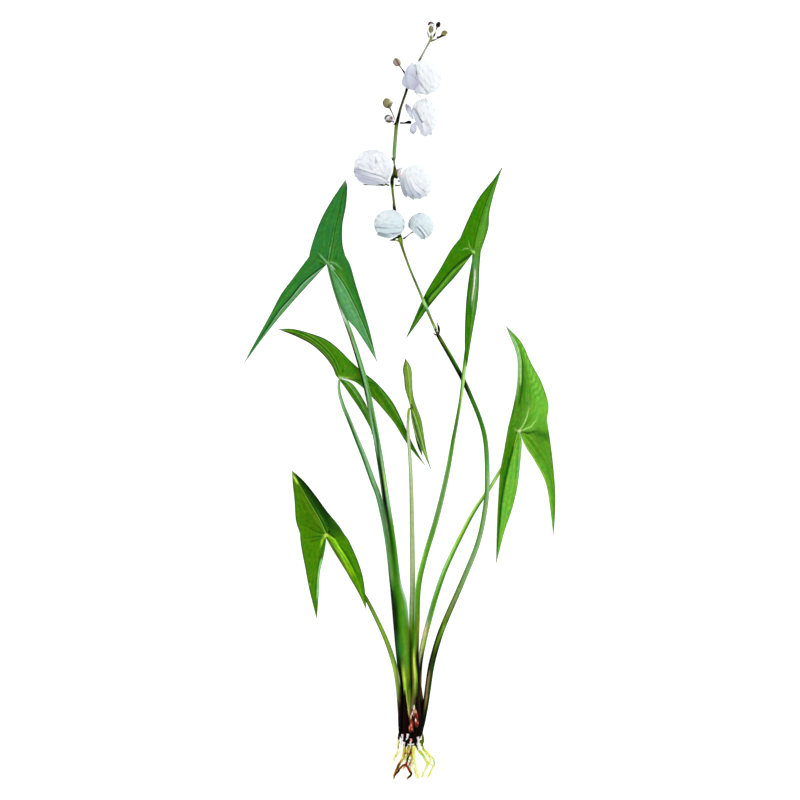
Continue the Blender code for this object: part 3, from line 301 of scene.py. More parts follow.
# Leaf stalks, from under the blade down to the corm: x, y, z of the middle, then the width, and the depth
# where it differs.
LEAF_STALKS = {
    "upper_left": (
        (-54, 102.8, 16.3, 1.8, 1.2), (-53.6, 101.5, 14.8, 2.4), (-49.5, 86, 11.4, 2.8),
        (-42.8, 66, 9.6, 3.4), (-35.6, 46, 9.2, 3.9), (-26.6, 16, 9.2, 4.4), (-20.2, -14, 9.2, 4.9),
        (-15, -44, 9.2, 5.2, 5), (-10.5, -74, 9.2, 5.4, 5), (-6, -104, 9.2, 5.6, 4.8),
        (-3.2, -134, 9.4, 7.4, 4.2), (0, -150, 9.5, 10, 3.6), (1.2, -165, 9.6, 11, 3.4),
        (2.2, -180, 9.8, 10.6, 3.6), (4, -198, 10, 7.6, 4.2), (5, -212, 10.2, 6, 4.6),
        (6, -226, 10.4, 5.4, 4.8), (6, -242, 10.5, 4.8, 4.6)),
    "upper_right": (
        (55, 110.6, 13.3, 1.6, 1.2), (55, 108.5, 12, 2.2), (54.2, 83, 11, 2.6), (52.4, 61, 10.4, 2.8),
        (48.9, 31, 9.8, 3), (45.3, 1, 9, 2.5), (39.9, -29, 8.6, 3.2), (34.3, -59, 8.4, 3.9),
        (27, -89, 8.4, 4.2), (18, -119, 8.6, 4.2), (13.6, -140, 9, 4.4, 4.2), (12.6, -165, 9.2, 4.6, 4.2),
        (11.8, -190, 9.4, 4.6, 4.2), (12.8, -209, 9.8, 4.6, 4.2), (12.8, -225, 10.2, 4.4, 4.2),
        (11.2, -242.6, 10.3, 3.8)),
    "middle_left": (
        (-45.1, 16.4, 4.7, 1.6, 1.2), (-45.8, 13.6, 2.6, 2), (-45.4, 6, 2.5, 2.4), (-42.5, -4, 2.5, 2.8),
        (-38.2, -14, 2.5, 3.2), (-32.2, -29, 2.5, 3.6), (-26.2, -44, 2.6, 4), (-20.8, -59, 2.6, 4.2),
        (-15.4, -74, 2.7, 4.4), (-9.4, -104, 2.7, 4.4), (-6, -134, 2.8, 4.4), (-3.8, -157, 2.9, 4.6, 4.2),
        (-1.8, -180, 3, 4.6, 4.2), (0.6, -205, 3.3, 4.4, 4.2), (2.4, -225, 3.6, 4.4, 4.2),
        (2.4, -243, 3.8, 4.2, 4)),
    "young": (
        (8, -5.4, 9.3, 1.4, 1), (6.6, -6.6, 7.2, 1.8), (6.1, -13, 7, 2.1), (6.1, -25, 7, 2.3),
        (7.5, -44, 7, 2.8), (8.5, -67, 6.6, 3.2), (9.1, -104, 5.8, 3.8), (9.4, -134, 5, 4, 3.8),
        (8.8, -164, 4.8, 4, 3.6), (9.4, -194, 5.2, 4, 3.8), (9.8, -212, 5.6, 4, 3.8),
        (9.4, -226, 5.4, 3.8, 3.6), (8.2, -241.6, 5.2, 3.6)),
    "right": (
        (89, -23.6, 13.3, 1.6, 1.2), (87.5, -26, 11.6, 2), (84.5, -36, 9.8, 2.3), (80, -45, 7.4, 2.4),
        (74.6, -53, 4.8, 2.5), (67.5, -65, 2.5, 2.6), (57, -80, 2.2, 3), (47.2, -98, 2.3, 3.3),
        (35.2, -123, 2.4, 3.8), (28.5, -141, 2.5, 4), (23.2, -159, 2.7, 4.2, 4), (18, -179, 3, 4.2, 4),
        (15, -196, 3.4, 4), (14.2, -212, 3.6, 4), (14.2, -226, 3.8, 4), (12.4, -242.8, 4.2, 3.8)),
    "lower_left": (
        (-55, -100.6, 11.8, 1.6, 1.2), (-54.2, -102.5, 10.3, 2.2), (-48.8, -112, 8.6, 2.4),
        (-41.2, -124, 7, 2.6), (-33, -137, 5.8, 2.7), (-24.8, -149, 5, 2.8), (-13.5, -172, 5.6, 3.3),
        (-7.5, -187, 6.4, 3.7), (-3.2, -202, 7.2, 3.9), (-1.1, -217, 8.2, 3.9), (0.1, -233, 8.6, 3.7),
        (0.4, -244.6, 8.8, 3.2)),
}
# The flower stalk, from the corm to its tip: x, y, z of the middle, then its thickness.
FLOWER_STALK = (
    (15.5, -245, 8.4, 4.2), (18.3, -232, 8.6, 4.6), (20.4, -218, 8.6, 4.8), (23.4, -198, 8, 5),
    (28.5, -179, 7.6, 4.8), (34.1, -164, 7.4, 4.6), (47.2, -134, 7.2, 4.2), (58.9, -104, 7.2, 3.9),
    (64.5, -74, 7.2, 3.8), (65.2, -50, 6.4, 3.8), (63.8, -29, 5.2, 3.7), (60, -14, 4.2, 3.5),
    (54, 1, 3.4, 3.4), (47.6, 15, 3, 3.6), (39, 31, 3.2, 3.5), (29.4, 47.5, 4.2, 3.2),
    (28.4, 49.6, 4.4, 2.2), (27.2, 52, 4.6, 2), (26.2, 54.6, 4.8, 2.6), (23.4, 61, 5.2, 2.2),
    (20.6, 67.6, 5.4, 2.6), (17.9, 74, 5.4, 2.6), (15, 81, 5.2, 2.1), (7, 100, 4.2, 2),
    (1.4, 116, 2.8, 2.2), (0.2, 121, 2.5, 3.6), (-2.4, 132, 2.2, 2.5), (-4.3, 144.6, 2.3, 2.5),
    (-4.6, 149, 2.4, 1.9), (-5.3, 154.5, 2.6, 1.9), (-5.8, 159.6, 2.8, 1.9), (-6, 163.5, 3, 2.9),
    (-5.8, 167, 3.1, 2.7), (-4.6, 171, 3.2, 2), (-4.1, 174.8, 3.2, 2), (-4.2, 177.6, 3.2, 1.4),
    (-4.5, 180.6, 3.2, 1.8), (-4.3, 183, 3.2, 2.8), (-4.2, 188, 3.2, 3), (-2.8, 206, 3.2, 2.8),
    (-2.2, 209, 3.2, 3), (-1.4, 212.4, 3.2, 2.4), (0.6, 220, 3.2, 2), (4.6, 232, 3, 2), (6.8, 240, 3, 3),
    (10.5, 248, 3.2, 2), (14.8, 255.8, 3.6, 2), (18.6, 263, 4, 1.5), (22.5, 270, 4.4, 2),
)
# Where it starts in the corm, and where the uppermost bud's stalk takes over from it.
FLOWER_STALK_ROOT = (12.0, -247.4, 7.8, 4.0)
FLOWER_STALK_END = (23.2, 272.6, 4.7, 2.0)
# Colours of the stalks: at a distance along Y, those from the left side to the right. Besides the stalks' own
# greens and dark feet, the rows hold painted light: most stalks are painted darker, down to black, along
# their left side and paler along their right, as lit from the upper right, with painted highlight streaks in
# the mint, sheen, snow, lemon, glow and flash colours.
STALK_PAINT = {
    "upper_left": {
        90: "shade sage grass jade", 72: "shade sage mint jade", 64: "olive sheen snow lemon jade",
        57: "dusk sage mint jade", 50: "dusk umber celadon olive jade", 42: "black umber mint grass jade",
        34: "black night mint grass jade", 20: "black deep mint grass jade",
        6: "black night mint meadow jade", -12: "deep mint night grass mint",
        -29: "deep mint night blue mint", -44: "night deep night mint blue",
        -59: "sage black black lemon grass", -75: "deep black black mint jade",
        -92: "sage night night meadow grass", -110: "grass shade deep leaf grass",
        -130: "sage meadow shade leaf jade", -142: "deep shade leaf meadow sheen",
        -155: "black night leaf meadow grass mint", -170: "black night leaf meadow leaf olive",
        -186: "night blue leaf grass olive deep", -195: "black shade olive grass leaf deep",
        -203: "black lime olive olive night", -208: "black glow olive olive night",
        -213: "black spark olive dusk deep", -218: "black glow dusk olive deep",
        -226: "black yellow olive olive dusk", -234: "bark bark straw tan rust",
        -241: "bark bark bark red bark", -246: "bark"},
    "upper_right": {
        95: "leaf grass sage", 30: "leaf leaf grass lime sage", 20: "leaf grass lemon mint lemon",
        8: "shade meadow lemon lime", -6: "shade leaf olive sage lemon", -18: "meadow leaf umber mint",
        -30: "sage shade leaf grass mint", -45: "lemon sage meadow grass sage",
        -60: "celadon sage meadow sage celadon", -80: "sage sage meadow sage celadon",
        -100: "sage grass meadow grass sage", -118: "lemon fresh meadow grass",
        -135: "lemon pasture pasture meadow shade", -152: "mint pasture olive leaf grass",
        -170: "grass leaf olive olive tan", -184: "shade pasture olive dusk night",
        -190: "glow lime dusk black black", -196: "flash glow black black black",
        -205: "flash lime black black", -213: "glow olive black bark", -222: "olive black bark wine bark",
        -240: "bark"},
    "middle_left": {
        12: "sage mint sage sage", 0: "sage mint sage leaf", -8: "shade sage jade sage",
        -14: "shade deep sage mint", -20: "blue deep sage sheen", -32: "blue deep jade mint celadon",
        -60: "deep blue mint mint celadon", -75: "blue jade mint jade celadon",
        -90: "sage jade celadon jade", -120: "jade sage jade grass", -142: "deep black deep night",
        -170: "black dusk black black", -188: "black blue night black", -200: "black night black black",
        -225: "bark black bark black", -245: "bark"},
    "young": {
        -10: "olive lime grass", -18: "olive pale pear", -30: "sage pale pear", -50: "sage pale celadon",
        -70: "sage pear pear", -100: "sage pear pear celadon", -120: "celadon pear pear celadon",
        -150: "celadon pear pear pear", -158: "sage lemon pear sage", -168: "olive lime acid olive",
        -182: "deep leaf acid olive", -190: "black olive glow glow", -197: "black olive flash flash",
        -212: "black deep flash flash", -220: "dusk olive flash glow", -226: "dusk cream skin tan",
        -234: "bark skin red maroon", -243: "bark"},
    "right": {
        -40: "lemon grass grass mint", -60: "grass lemon glow mint", -75: "lemon lemon meadow leaf",
        -100: "lemon lime meadow leaf", -120: "mint lemon meadow leaf", -145: "mint fresh leaf grass",
        -156: "mint grass meadow fresh", -164: "sheen sage grass fresh", -172: "cream cream tan fresh",
        -182: "cream straw lime dusk", -192: "straw cream dusk black", -200: "dusk black black bark",
        -209: "black black black tan", -225: "black bark tan bark", -240: "bark"},
    "lower_left": {
        -103: "olive grass olive", -145: "dusk olive dusk", -155: "dusk olive grass dusk",
        -170: "dusk pea acid olive", -190: "olive pea pea sage", -200: "pea lime olive sage",
        -209: "sage pea olive cream", -214: "celadon pea olive bark", -220: "ash olive dusk bark",
        -226: "maroon dusk maroon bark", -230: "maroon bark bark bark", -236: "maroon bark bark bark",
        -243: "bark"},
    "flower": {
        -245: "black bark black black", -238: "black bark black black",
        -232: "black black dusk black night", -222: "black black tan black night",
        -215: "black black tan dusk night night", -207: "black black tan dusk night night",
        -200: "black black dusk dusk night night", -190: "black black dusk dusk black black",
        -180: "black black olive leaf dusk black", -170: "black night olive fresh black",
        -164: "black olive olive leaf bark", -153: "dusk olive stone olive dusk",
        -138: "shade olive sage sage olive", -119: "shade sage sage celadon sage",
        -96: "meadow meadow sage celadon sage", -74: "shade meadow sage celadon sage",
        -60: "shade meadow sage mint sage", -44: "shade meadow grass jade sage",
        -29: "deep leaf meadow leaf sage", -14: "deep shade leaf shade jade",
        1: "night shade leaf deep jade", 8: "black black shade dusk", 14: "black black black night",
        20: "black black black night", 27: "black night shade grass", 38: "black black night moss grass",
        46: "black dusk olive dusk", 49: "black", 52: "black dusk straw dusk", 54.5: "stone lemon stone",
        59: "stone olive stone", 64: "dusk olive stone", 69: "shade jade mint", 73: "grass lemon mint",
        77: "stone sage lime", 82: "stone olive sage", 90: "stone dusk sage", 98: "sage olive sage",
        104: "stone olive stone", 113: "stone dusk olive stone", 118: "olive olive dusk",
        120.6: "lime glow olive", 122.6: "olive glow olive", 125: "black dusk black",
        128: "black dusk black", 144: "black", 147: "stone dusk olive stone",
        153: "stone olive olive stone", 159: "stone olive stone", 161.5: "night moss night",
        164: "black black moss", 168: "black dusk night", 170.5: "dusk olive dusk", 173: "dusk olive dusk",
        174.5: "black", 176.6: "ash stone ash", 179.8: "ash dusk ash", 182.5: "sage celadon celadon",
        186: "olive sage celadon", 193: "olive sage celadon", 200: "olive stone celadon",
        205.5: "olive olive stone", 208.5: "dusk olive dusk", 211: "black", 215: "black dusk dusk",
        218: "dusk dusk stone", 226: "dusk dusk stone", 231: "dusk night dusk", 236: "black",
        241: "dusk black dusk", 246: "stone", 254: "stone", 257: "iron ash ash", 263: "ash",
        267: "stone ash ash", 270: "khaki khaki ash", 272: "khaki olive stone"},
}
# Dark rings at the joints: distance along Y, half width along the stalk, colour.
STALK_RINGS = (
    (50.8, 1, "black"), (121, 0.8, "dusk"), (144.9, 1.1, "black"), (163.4, 1.4, "black"),
    (167, 0.9, "black"), (171.8, 0.5, "black"), (175, 0.9, "black"), (181.4, 0.6, "night"),
    (209.6, 2.2, "black"), (232.4, 0.9, "black"), (256.2, 0.8, "dusk"),
)
# How far apart the rings of points of leaf stalks, of the flower stalk and of thin stalks are.
STALK_STEP = 2.0
FLOWER_STALK_STEP = 1.2
THIN_STALK_STEP = 0.8

# Flowers: centre, radii along X, Y and Z, the way the flower faces, the route of its own stalk, the colour
# of its petals and of their shaded feet.
FLOWERS = {
    "low_left": (
        (-7.9, 132.4, 16), (11.6, 10.9, 10.8), (0.1, 0.6, 0.79),
        ((-1.2, 124.4, 5), (-1.8, 125.2, 6.6), (-2.6, 126.2, 8.2)), "ice", "frost"),
    "low_right": (
        (15.8, 131, 10.2), (9.7, 10.1, 10), (0.55, 0.55, 0.63),
        ((2.6, 121.6, 3.2), (5.4, 123.6, 4.4), (8.4, 126, 6)), "ice", "frost"),
    "middle_left": (
        (-20.6, 174.4, 14.2), (14.6, 13.9, 14), (0.1, 0.3, 0.95),
        ((-8.4, 161.6, 4.4), (-10.2, 162.2, 6), (-11.8, 163.8, 7.8)), "pearl", "cloud"),
    "middle_right": (
        (12.2, 164, 13.1), (12.7, 13.1, 12.9), (0.45, 0.45, 0.77),
        ((-3.4, 161.6, 4.2), (-1.4, 161.4, 5.8), (0.8, 161.8, 7.4)), "snow", "cloud"),
    "upper_right": (
        (17.2, 213, 12.4), (11.2, 13.8, 12.2), (0.85, 0.15, 0.5),
        ((0.4, 208.4, 3.8), (3.2, 208.2, 5.4), (6.4, 208.8, 7.2)), "snow", "pearl"),
    "top_right": (
        (18.9, 242.2, 13.2), (12.7, 13.1, 13), (0.8, 0.35, 0.49),
        ((7.2, 236.6, 5), (7.8, 236.4, 6.6), (8.8, 236.8, 8)), "snow", "pearl"),
}
PETAL_COUNT = 54
BALL_COVER = 1.75        # how far round the ball the petals' tips go, where 2 is the whole ball
FLOWER_SEED = 100
# Shift of the inner ball from the flower's centre along X and Y, its size as a share of the flower's, how
# strongly its petals stand out, and how deep and how many the waves of its rim are.
DOMES = {
    "low_left": (0, 0.1, 0.99, 1, 0.03, 11),
    "low_right": (0, 0.1, 0.99, 0.8, 0.03, 11),
    "middle_left": (0.1, 0, 1, 1.5, 0.022, 7),
    "middle_right": (0.2, 0.2, 0.99, 0.6, 0.014, 4.5),
    "upper_right": (1.2, 0.2, 0.96, 0.5, 0.01, 4.5),
    "top_right": (0, 0, 1, 0.4, 0.01, 4.5),
}
# Flat sides of the balls in plan: a point of the side, and the way it looks.
FLAT_SIDES = {
    "low_left": ((0, 124.7), (0.4, -0.917)),
    "low_right": ((11.2, 125.7), (-0.707, -0.707)),
    "middle_left": ((-20, 162.7), (0, -1)),
    "upper_right": ((12.4, 209.3), (-0.923, -0.385)),
}
FLAT_SHARE = 0.18        # how far a petal beyond a flat side still stands out
# Outer petals laid over the ball: the colours from foot to tip, that of the rim, the lift, and the spine as
# plan points with half widths. Their lilacs and greys are painted shade on the ball's shaded side, and most
# rims are a darker painted shade along the petals' edges.
OUTER_PETALS = {
    "top_right": (
        ("lilac mist mist", "lilac", 0.35, (9.4, 242, 3), (11.2, 237, 3.6), (14, 232.6, 2.8),
         (18.4, 229.4, 1)),
        ("mist pearl pearl", "mist", 0.6, (13.4, 236.4, 0.9), (16, 232.6, 1.7), (19.4, 229.4, 1.1),
         (20.8, 228.9, 0.5)),
        ("lilac lilac cloud frost", "cloud", 0.7, (7.2, 237.6, 3.6), (7.5, 243.4, 4.5), (8.4, 248.8, 3.4),
         (9.2, 252.8, 1.6)),
        ("haze lilac cloud cloud", "lilac", 1.1, (12.4, 234.6, 3), (8.4, 237.4, 4.8), (4.8, 239.8, 5),
         (2.2, 241.6, 4.2))),
    "upper_right": (
        ("pearl pearl mist", "lilac", 0.3, (16.4, 207.4, 1.6), (17.8, 203.2, 3.2), (18.6, 200.4, 3.4),
         (19.2, 198, 3)),
        ("pearl mist mist", "cloud", 0.2, (20, 204.6, 1.4), (22, 201.4, 1.8), (23.8, 199.2, 1.4)),
        ("mist cloud cloud mist", "lilac", 0.5, (9.4, 217.4, 0.9), (12.2, 211.4, 1.6), (14.8, 205.4, 1.9),
         (17.4, 200.2, 1.3)),
        ("lilac mist mist lilac", "lead", 0.9, (11.6, 208, 0.8), (10.3, 205.2, 2.2), (9.8, 202.6, 2.6),
         (9.9, 199.9, 2.2)),
        ("haze mist haze dove", "lead", 1.2, (9.7, 210.4, 0.5), (7.6, 214.8, 1.4), (6.2, 218.6, 2),
         (4.7, 222, 1.5))),
    "middle_right": (
        ("pearl pearl cloud", "cloud", 0.1, (7.4, 167.4, 1.2), (10.8, 160.4, 1.9), (16.8, 155, 1.8),
         (20.4, 152.8, 1)),
        ("pearl cloud cloud", "dove", 0.3, (5.2, 167.6, 1.1), (7.6, 159.6, 1.7), (12.4, 153.4, 1.7),
         (15.2, 151.2, 1)),
        ("cloud cloud dove", "gull", 0.5, (3.4, 167.2, 1), (4.9, 159.2, 1.5), (8.2, 153.2, 1.5),
         (10.2, 150.6, 1)),
        ("cloud dove gull", "gull", 0.7, (1.4, 166.6, 0.9), (2.1, 159.6, 1.2), (3.8, 154.8, 1.3),
         (5.2, 152.6, 0.9))),
    "middle_left": (
        ("dove cloud pearl pearl", "cloud", 0.1, (-34.4, 172.2, 1.4), (-25, 168.4, 2.2),
         (-15.4, 165.2, 2.4), (-8.4, 163.2, 1.6)),
        ("lilac lilac cloud pearl", "dove", 0.3, (-33.8, 169.2, 1.4), (-25.6, 166, 2), (-16.6, 163.9, 2),
         (-10.8, 162.7, 1.2)),
        ("haze lilac cloud", "dove", 0.5, (-31.6, 166.4, 1.2), (-25.4, 164.2, 1.6), (-19.5, 163.2, 1.4),
         (-15.4, 162.6, 0.8))),
    "low_left": (
        ("frost frost frost ice", "frost", 0, (-17.6, 127.8, 1.2), (-9.4, 126.9, 1.8), (-2, 127.6, 1.4),
         (2, 128.6, 0.8)),
        ("gull gull frost", "frost", 0.25, (-17, 125, 1), (-12, 123.8, 1.5), (-8, 123.6, 1.3),
         (-5.4, 124, 0.8))),
    "low_right": (
        ("frost frost gull", "gull", 0.1, (12, 129, 0.8), (14.6, 125.6, 1.3), (17.4, 122.4, 1.2),
         (18.6, 121, 0.8)),
        ("ice snow snow", "snow", 0.5, (13.8, 131.2, 0.5), (16.8, 127.6, 0.7), (19.8, 123.6, 0.7),
         (20.8, 122.2, 0.5))),
}
PETAL_SPREAD = 0.90      # an outer petal follows a ball that is wider than the flower's by this divisor
PETAL_THICKNESS = 0.22
# Folds of the balls and the light and shade painted on them: painted shade along the folds and over the
# balls' shaded lower-left sides, painted highlights, and a few small dark dots and tints. Each has its
# colour, half width, strength, depth of the fold, and the line in plan.
FOLDS_AND_PAINTED_LIGHT = {
    "top_right": (
        ("haze", 0.95, 0.5, 0.08, (10.6, 250.6), (12.2, 244.6), (13.7, 238.6), (16.8, 233.4), (20.6, 229.4)),
        ("mist", 1.6, 0.5, 0, (31.4, 246), (31.6, 240), (29.6, 234.4), (26, 230.6))),
    "upper_right": (
        ("dove", 1, 0.6, 0.08, (11.6, 217.4), (13.9, 211), (15.9, 205.6), (18.4, 200.2)),
        ("pearl", 2, 0.4, 0, (14.8, 222), (17, 214), (19.6, 205))),
    "middle_right": (
        ("gull", 0.55, 0.8, 0.3, (0.8, 166), (1.1, 159), (3.2, 153.8)),
        ("lead", 0.5, 0.65, 0.4, (2.7, 165.4), (3.9, 159), (7.2, 152.8)),
        ("gull", 0.5, 0.75, 0.4, (4.5, 165), (6.6, 158.8), (10.8, 152)),
        ("gull", 0.45, 0.6, 0.3, (6.8, 165.4), (9.2, 160), (14.6, 153.6)),
        ("dove", 0.45, 0.4, 0.2, (9.4, 163.6), (12.4, 159.4), (18.6, 155)),
        ("cloud", 0.4, 0.4, 0.1, (12.6, 163.4), (15.6, 160.6), (20.4, 158.2)),
        ("dove", 4.2, 0.35, 0, (3.6, 160), (8.4, 154.4)),
        ("blush", 1.3, 0.6, 0, (1.8, 171.4), (1.4, 166.8)),
        ("gull", 0.7, 0.5, 0, (9, 151.2), (16, 151.4), (21, 154))),
    "middle_left": (
        ("dove", 0.45, 0.75, 0.35, (-34.8, 174.6), (-27.4, 171), (-17.4, 167.6), (-9.4, 165.4)),
        ("lead", 0.4, 0.5, 0.3, (-33.8, 171), (-25.6, 167.4), (-16, 164.6), (-10, 163.4)),
        ("lead", 0.4, 0.4, 0.25, (-32, 168), (-25, 165.2), (-17.4, 163.4)),
        ("haze", 0.45, 0.5, 0.2, (-33.8, 178), (-27, 174.8), (-21, 172.6)),
        ("haze", 0.4, 0.5, 0.2, (-25.4, 177.8), (-21, 175.8)),
        ("cloud", 0.4, 0.6, 0.2, (-30.4, 180.4), (-25.6, 179)),
        ("lead", 3, 0.48, 0, (-33.6, 170), (-29, 167), (-24, 165.6)),
        ("cloud", 2.4, 0.3, 0, (-24, 167), (-13, 164.6)),
        ("cloud", 0.55, 0.8, 0.1, (-28, 182), (-25.4, 184.6)),
        ("haze", 0.5, 0.7, 0.1, (-33.2, 179.2), (-30.6, 181)),
        ("cloud", 0.6, 0.7, 0.1, (-18.2, 186.9), (-12.4, 184.6)),
        ("cloud", 0.6, 0.7, 0.1, (-14.4, 182.2), (-11.2, 178.4)),
        ("lilac", 0.5, 0.9, 0.1, (-30.2, 176.4), (-27, 175)),
        ("cloud", 0.55, 0.7, 0.1, (-12.6, 176.4), (-9.8, 172.4)),
        ("lilac", 0.5, 0.8, 0.1, (-22.6, 180.2), (-21.2, 178.2)),
        ("dove", 0.45, 0.8, 0.3, (-18.2, 181.4), (-17.8, 177.4)),
        ("lead", 0.5, 0.6, 0.2, (-17.9, 179.4), (-18, 177.2)),
        ("dove", 0.5, 0.85, 0.3, (-22.8, 175), (-20.4, 172.2)),
        ("haze", 0.4, 0.5, 0.2, (-15.6, 174.6), (-13, 170.2)),
        ("cloud", 1.6, 0.6, 0, (-27.4, 186.2), (-17, 186.6)),
        ("dove", 0.6, 0.8, 0, (-35.4, 180.8), (-35.4, 176.4)),
        ("haze", 0.5, 0.6, 0, (-33.2, 183.2), (-31, 185.4)),
        ("dove", 0.45, 0.8, 0, (-10.8, 185), (-9.2, 183))),
    "low_left": (
        ("gull", 0.9, 0.35, 0.06, (-18.6, 127.6), (-10, 126.6), (-2, 127)),
        ("cloud", 0.6, 0.5, 0.15, (-17.6, 131.6), (-8, 131.2), (1, 132)),
        ("gull", 2.4, 0.75, 0, (-17.4, 125.6), (-9.5, 123.8)),
        ("gull", 2.6, 0.55, 0, (-17, 128.6), (-8, 127.2)),
        ("snow", 3.6, 0.65, 0, (-15.4, 138.6), (-8.4, 141.6)),
        ("gull", 0.8, 0.8, 0.1, (-18.2, 134.4), (-17.4, 134.9)),
        ("gull", 0.8, 0.8, 0.1, (-18.4, 130.4), (-17.6, 129)),
        ("gull", 0.8, 0.7, 0.1, (-16.2, 138), (-15.4, 138.4)),
        ("gull", 0.8, 0.7, 0.1, (2.6, 135), (3.2, 134.2)),
        ("gull", 0.8, 0.6, 0.1, (2.6, 131), (2.2, 129.6)),
        ("lead", 0.55, 0.7, 0.1, (-7.6, 123.6), (-4.4, 125.2), (-3, 124.8), (0.2, 126.2))),
    "low_right": (
        ("gull", 0.7, 0.5, 0.1, (11.4, 129.4), (14.2, 125.8), (17.4, 122)),
        ("lead", 0.4, 0.7, 0.3, (13, 130), (16, 126.2), (19, 122.2)),
        ("gull", 0.55, 0.6, 0.15, (15.6, 130.4), (18.6, 126.8), (21.4, 123)),
        ("lead", 0.8, 0.8, 0.1, (14, 140.6), (14.8, 140.7)),
        ("gull", 0.8, 0.8, 0.1, (8.8, 139), (9.4, 138.4)),
        ("lead", 0.8, 0.8, 0.1, (7.2, 136.2), (7.6, 135.4)),
        ("gull", 0.8, 0.8, 0.1, (6.6, 132.6), (7, 131.4)),
        ("lead", 0.5, 0.6, 0.1, (7.2, 129.8), (8.2, 129)),
        ("lemon", 1.2, 0.12, 0, (10.4, 133.4), (11.4, 131))),
}
# How the flowers' own stalks go on from their routes, their thicknesses and colours from foot to end.
PEDICELS = {
    "low_left": ((), (1.9, 1.5, 1.7), "dusk night dusk"),
    "low_right": (((11, 127, 7.4),), (1.6, 0.9, 0.7, 0.9, 1.3), "dusk umber taupe umber stone"),
    "middle_left": (
        ((-14.5, 161.9, 7.6), (-20.6, 161.8, 7), (-27.4, 162.1, 6.4)), (1.4, 0.9, 1.3, 0.8, 0.8, 1.3),
        "olive black black gull dove gull"),
    "middle_right": ((), (1.3, 0.9, 1.1), "olive stone ash"),
    "upper_right": (
        ((7.2, 208.7, 7.4), (8.4, 208.3, 7.6)), (1.5, 1.2, 1.2, 1.4, 2.3, 2.6, 1.9),
        "black black bark black black black"),
    "top_right": ((), (1.6, 1.4, 1.6), "dusk"),
}
# Buds: centre, radius, length as a share of the width, the route of the bud's stalk from the flower stalk
# outwards, the colour of the bud, and the thicknesses and colours of its stalk from foot to end.
BUDS = {
    "tip_left": (
        (23.2, 278.4, 5), 1.9, 1.55, ((23.2, 272.6, 4.7), (23.3, 273.8, 4.9), (23.3, 274.8, 5)), "khaki",
        (1.7, 1.6, 1.1, 1.2), "olive khaki cream lemon"),
    "tip_middle": (
        (28.6, 281.8, 5.6), 1.8, 1.2, ((24.6, 272.2, 5), (26.2, 275.2, 5.3), (27.3, 278.8, 5.5)), "bark",
        (1.2, 1.4, 1.5, 1.3, 0.7, 0.9, 1.7), "olive cream black black cream umber ash"),
    "tip_right": (
        (33.2, 275.4, 5.2), 2.2, 1.15, ((24.8, 270.2, 4.4), (27.8, 271.4, 4.8), (30.7, 273.5, 5)), "khaki",
        (1.2, 1.3, 1, 1.2, 1.8), "khaki umber taupe plum night"),
    "top": (
        (-2.2, 253.8, 4.8), 2.9, 1.1, ((5.2, 242.8, 3.6), (3.4, 246, 4), (0.4, 250.2, 4.5)), "taupe",
        (1.6, 1.9, 1.9, 1.4, 1, 1.1, 1.5), "black black black black dusk stone khaki"),
    "upper_large": (
        (-9.4, 223, 4.6), 3.4, 1.1, ((-4.6, 212.4, 3.7), (-5.6, 215.4, 4), (-7.4, 219, 4.4)), "khaki",
        (0.9, 0.8, 0.9, 1, 1.8), "cream ash stone night black"),
    "upper_small": (
        (-8.5, 211.5, 4), 3, 1.1, ((-4.9, 209, 3.4), (-5.1, 209.3, 3.5), (-5.3, 209.6, 3.6)), "snow",
        (1.2, 1.2, 0.9), "wine blush"),
}
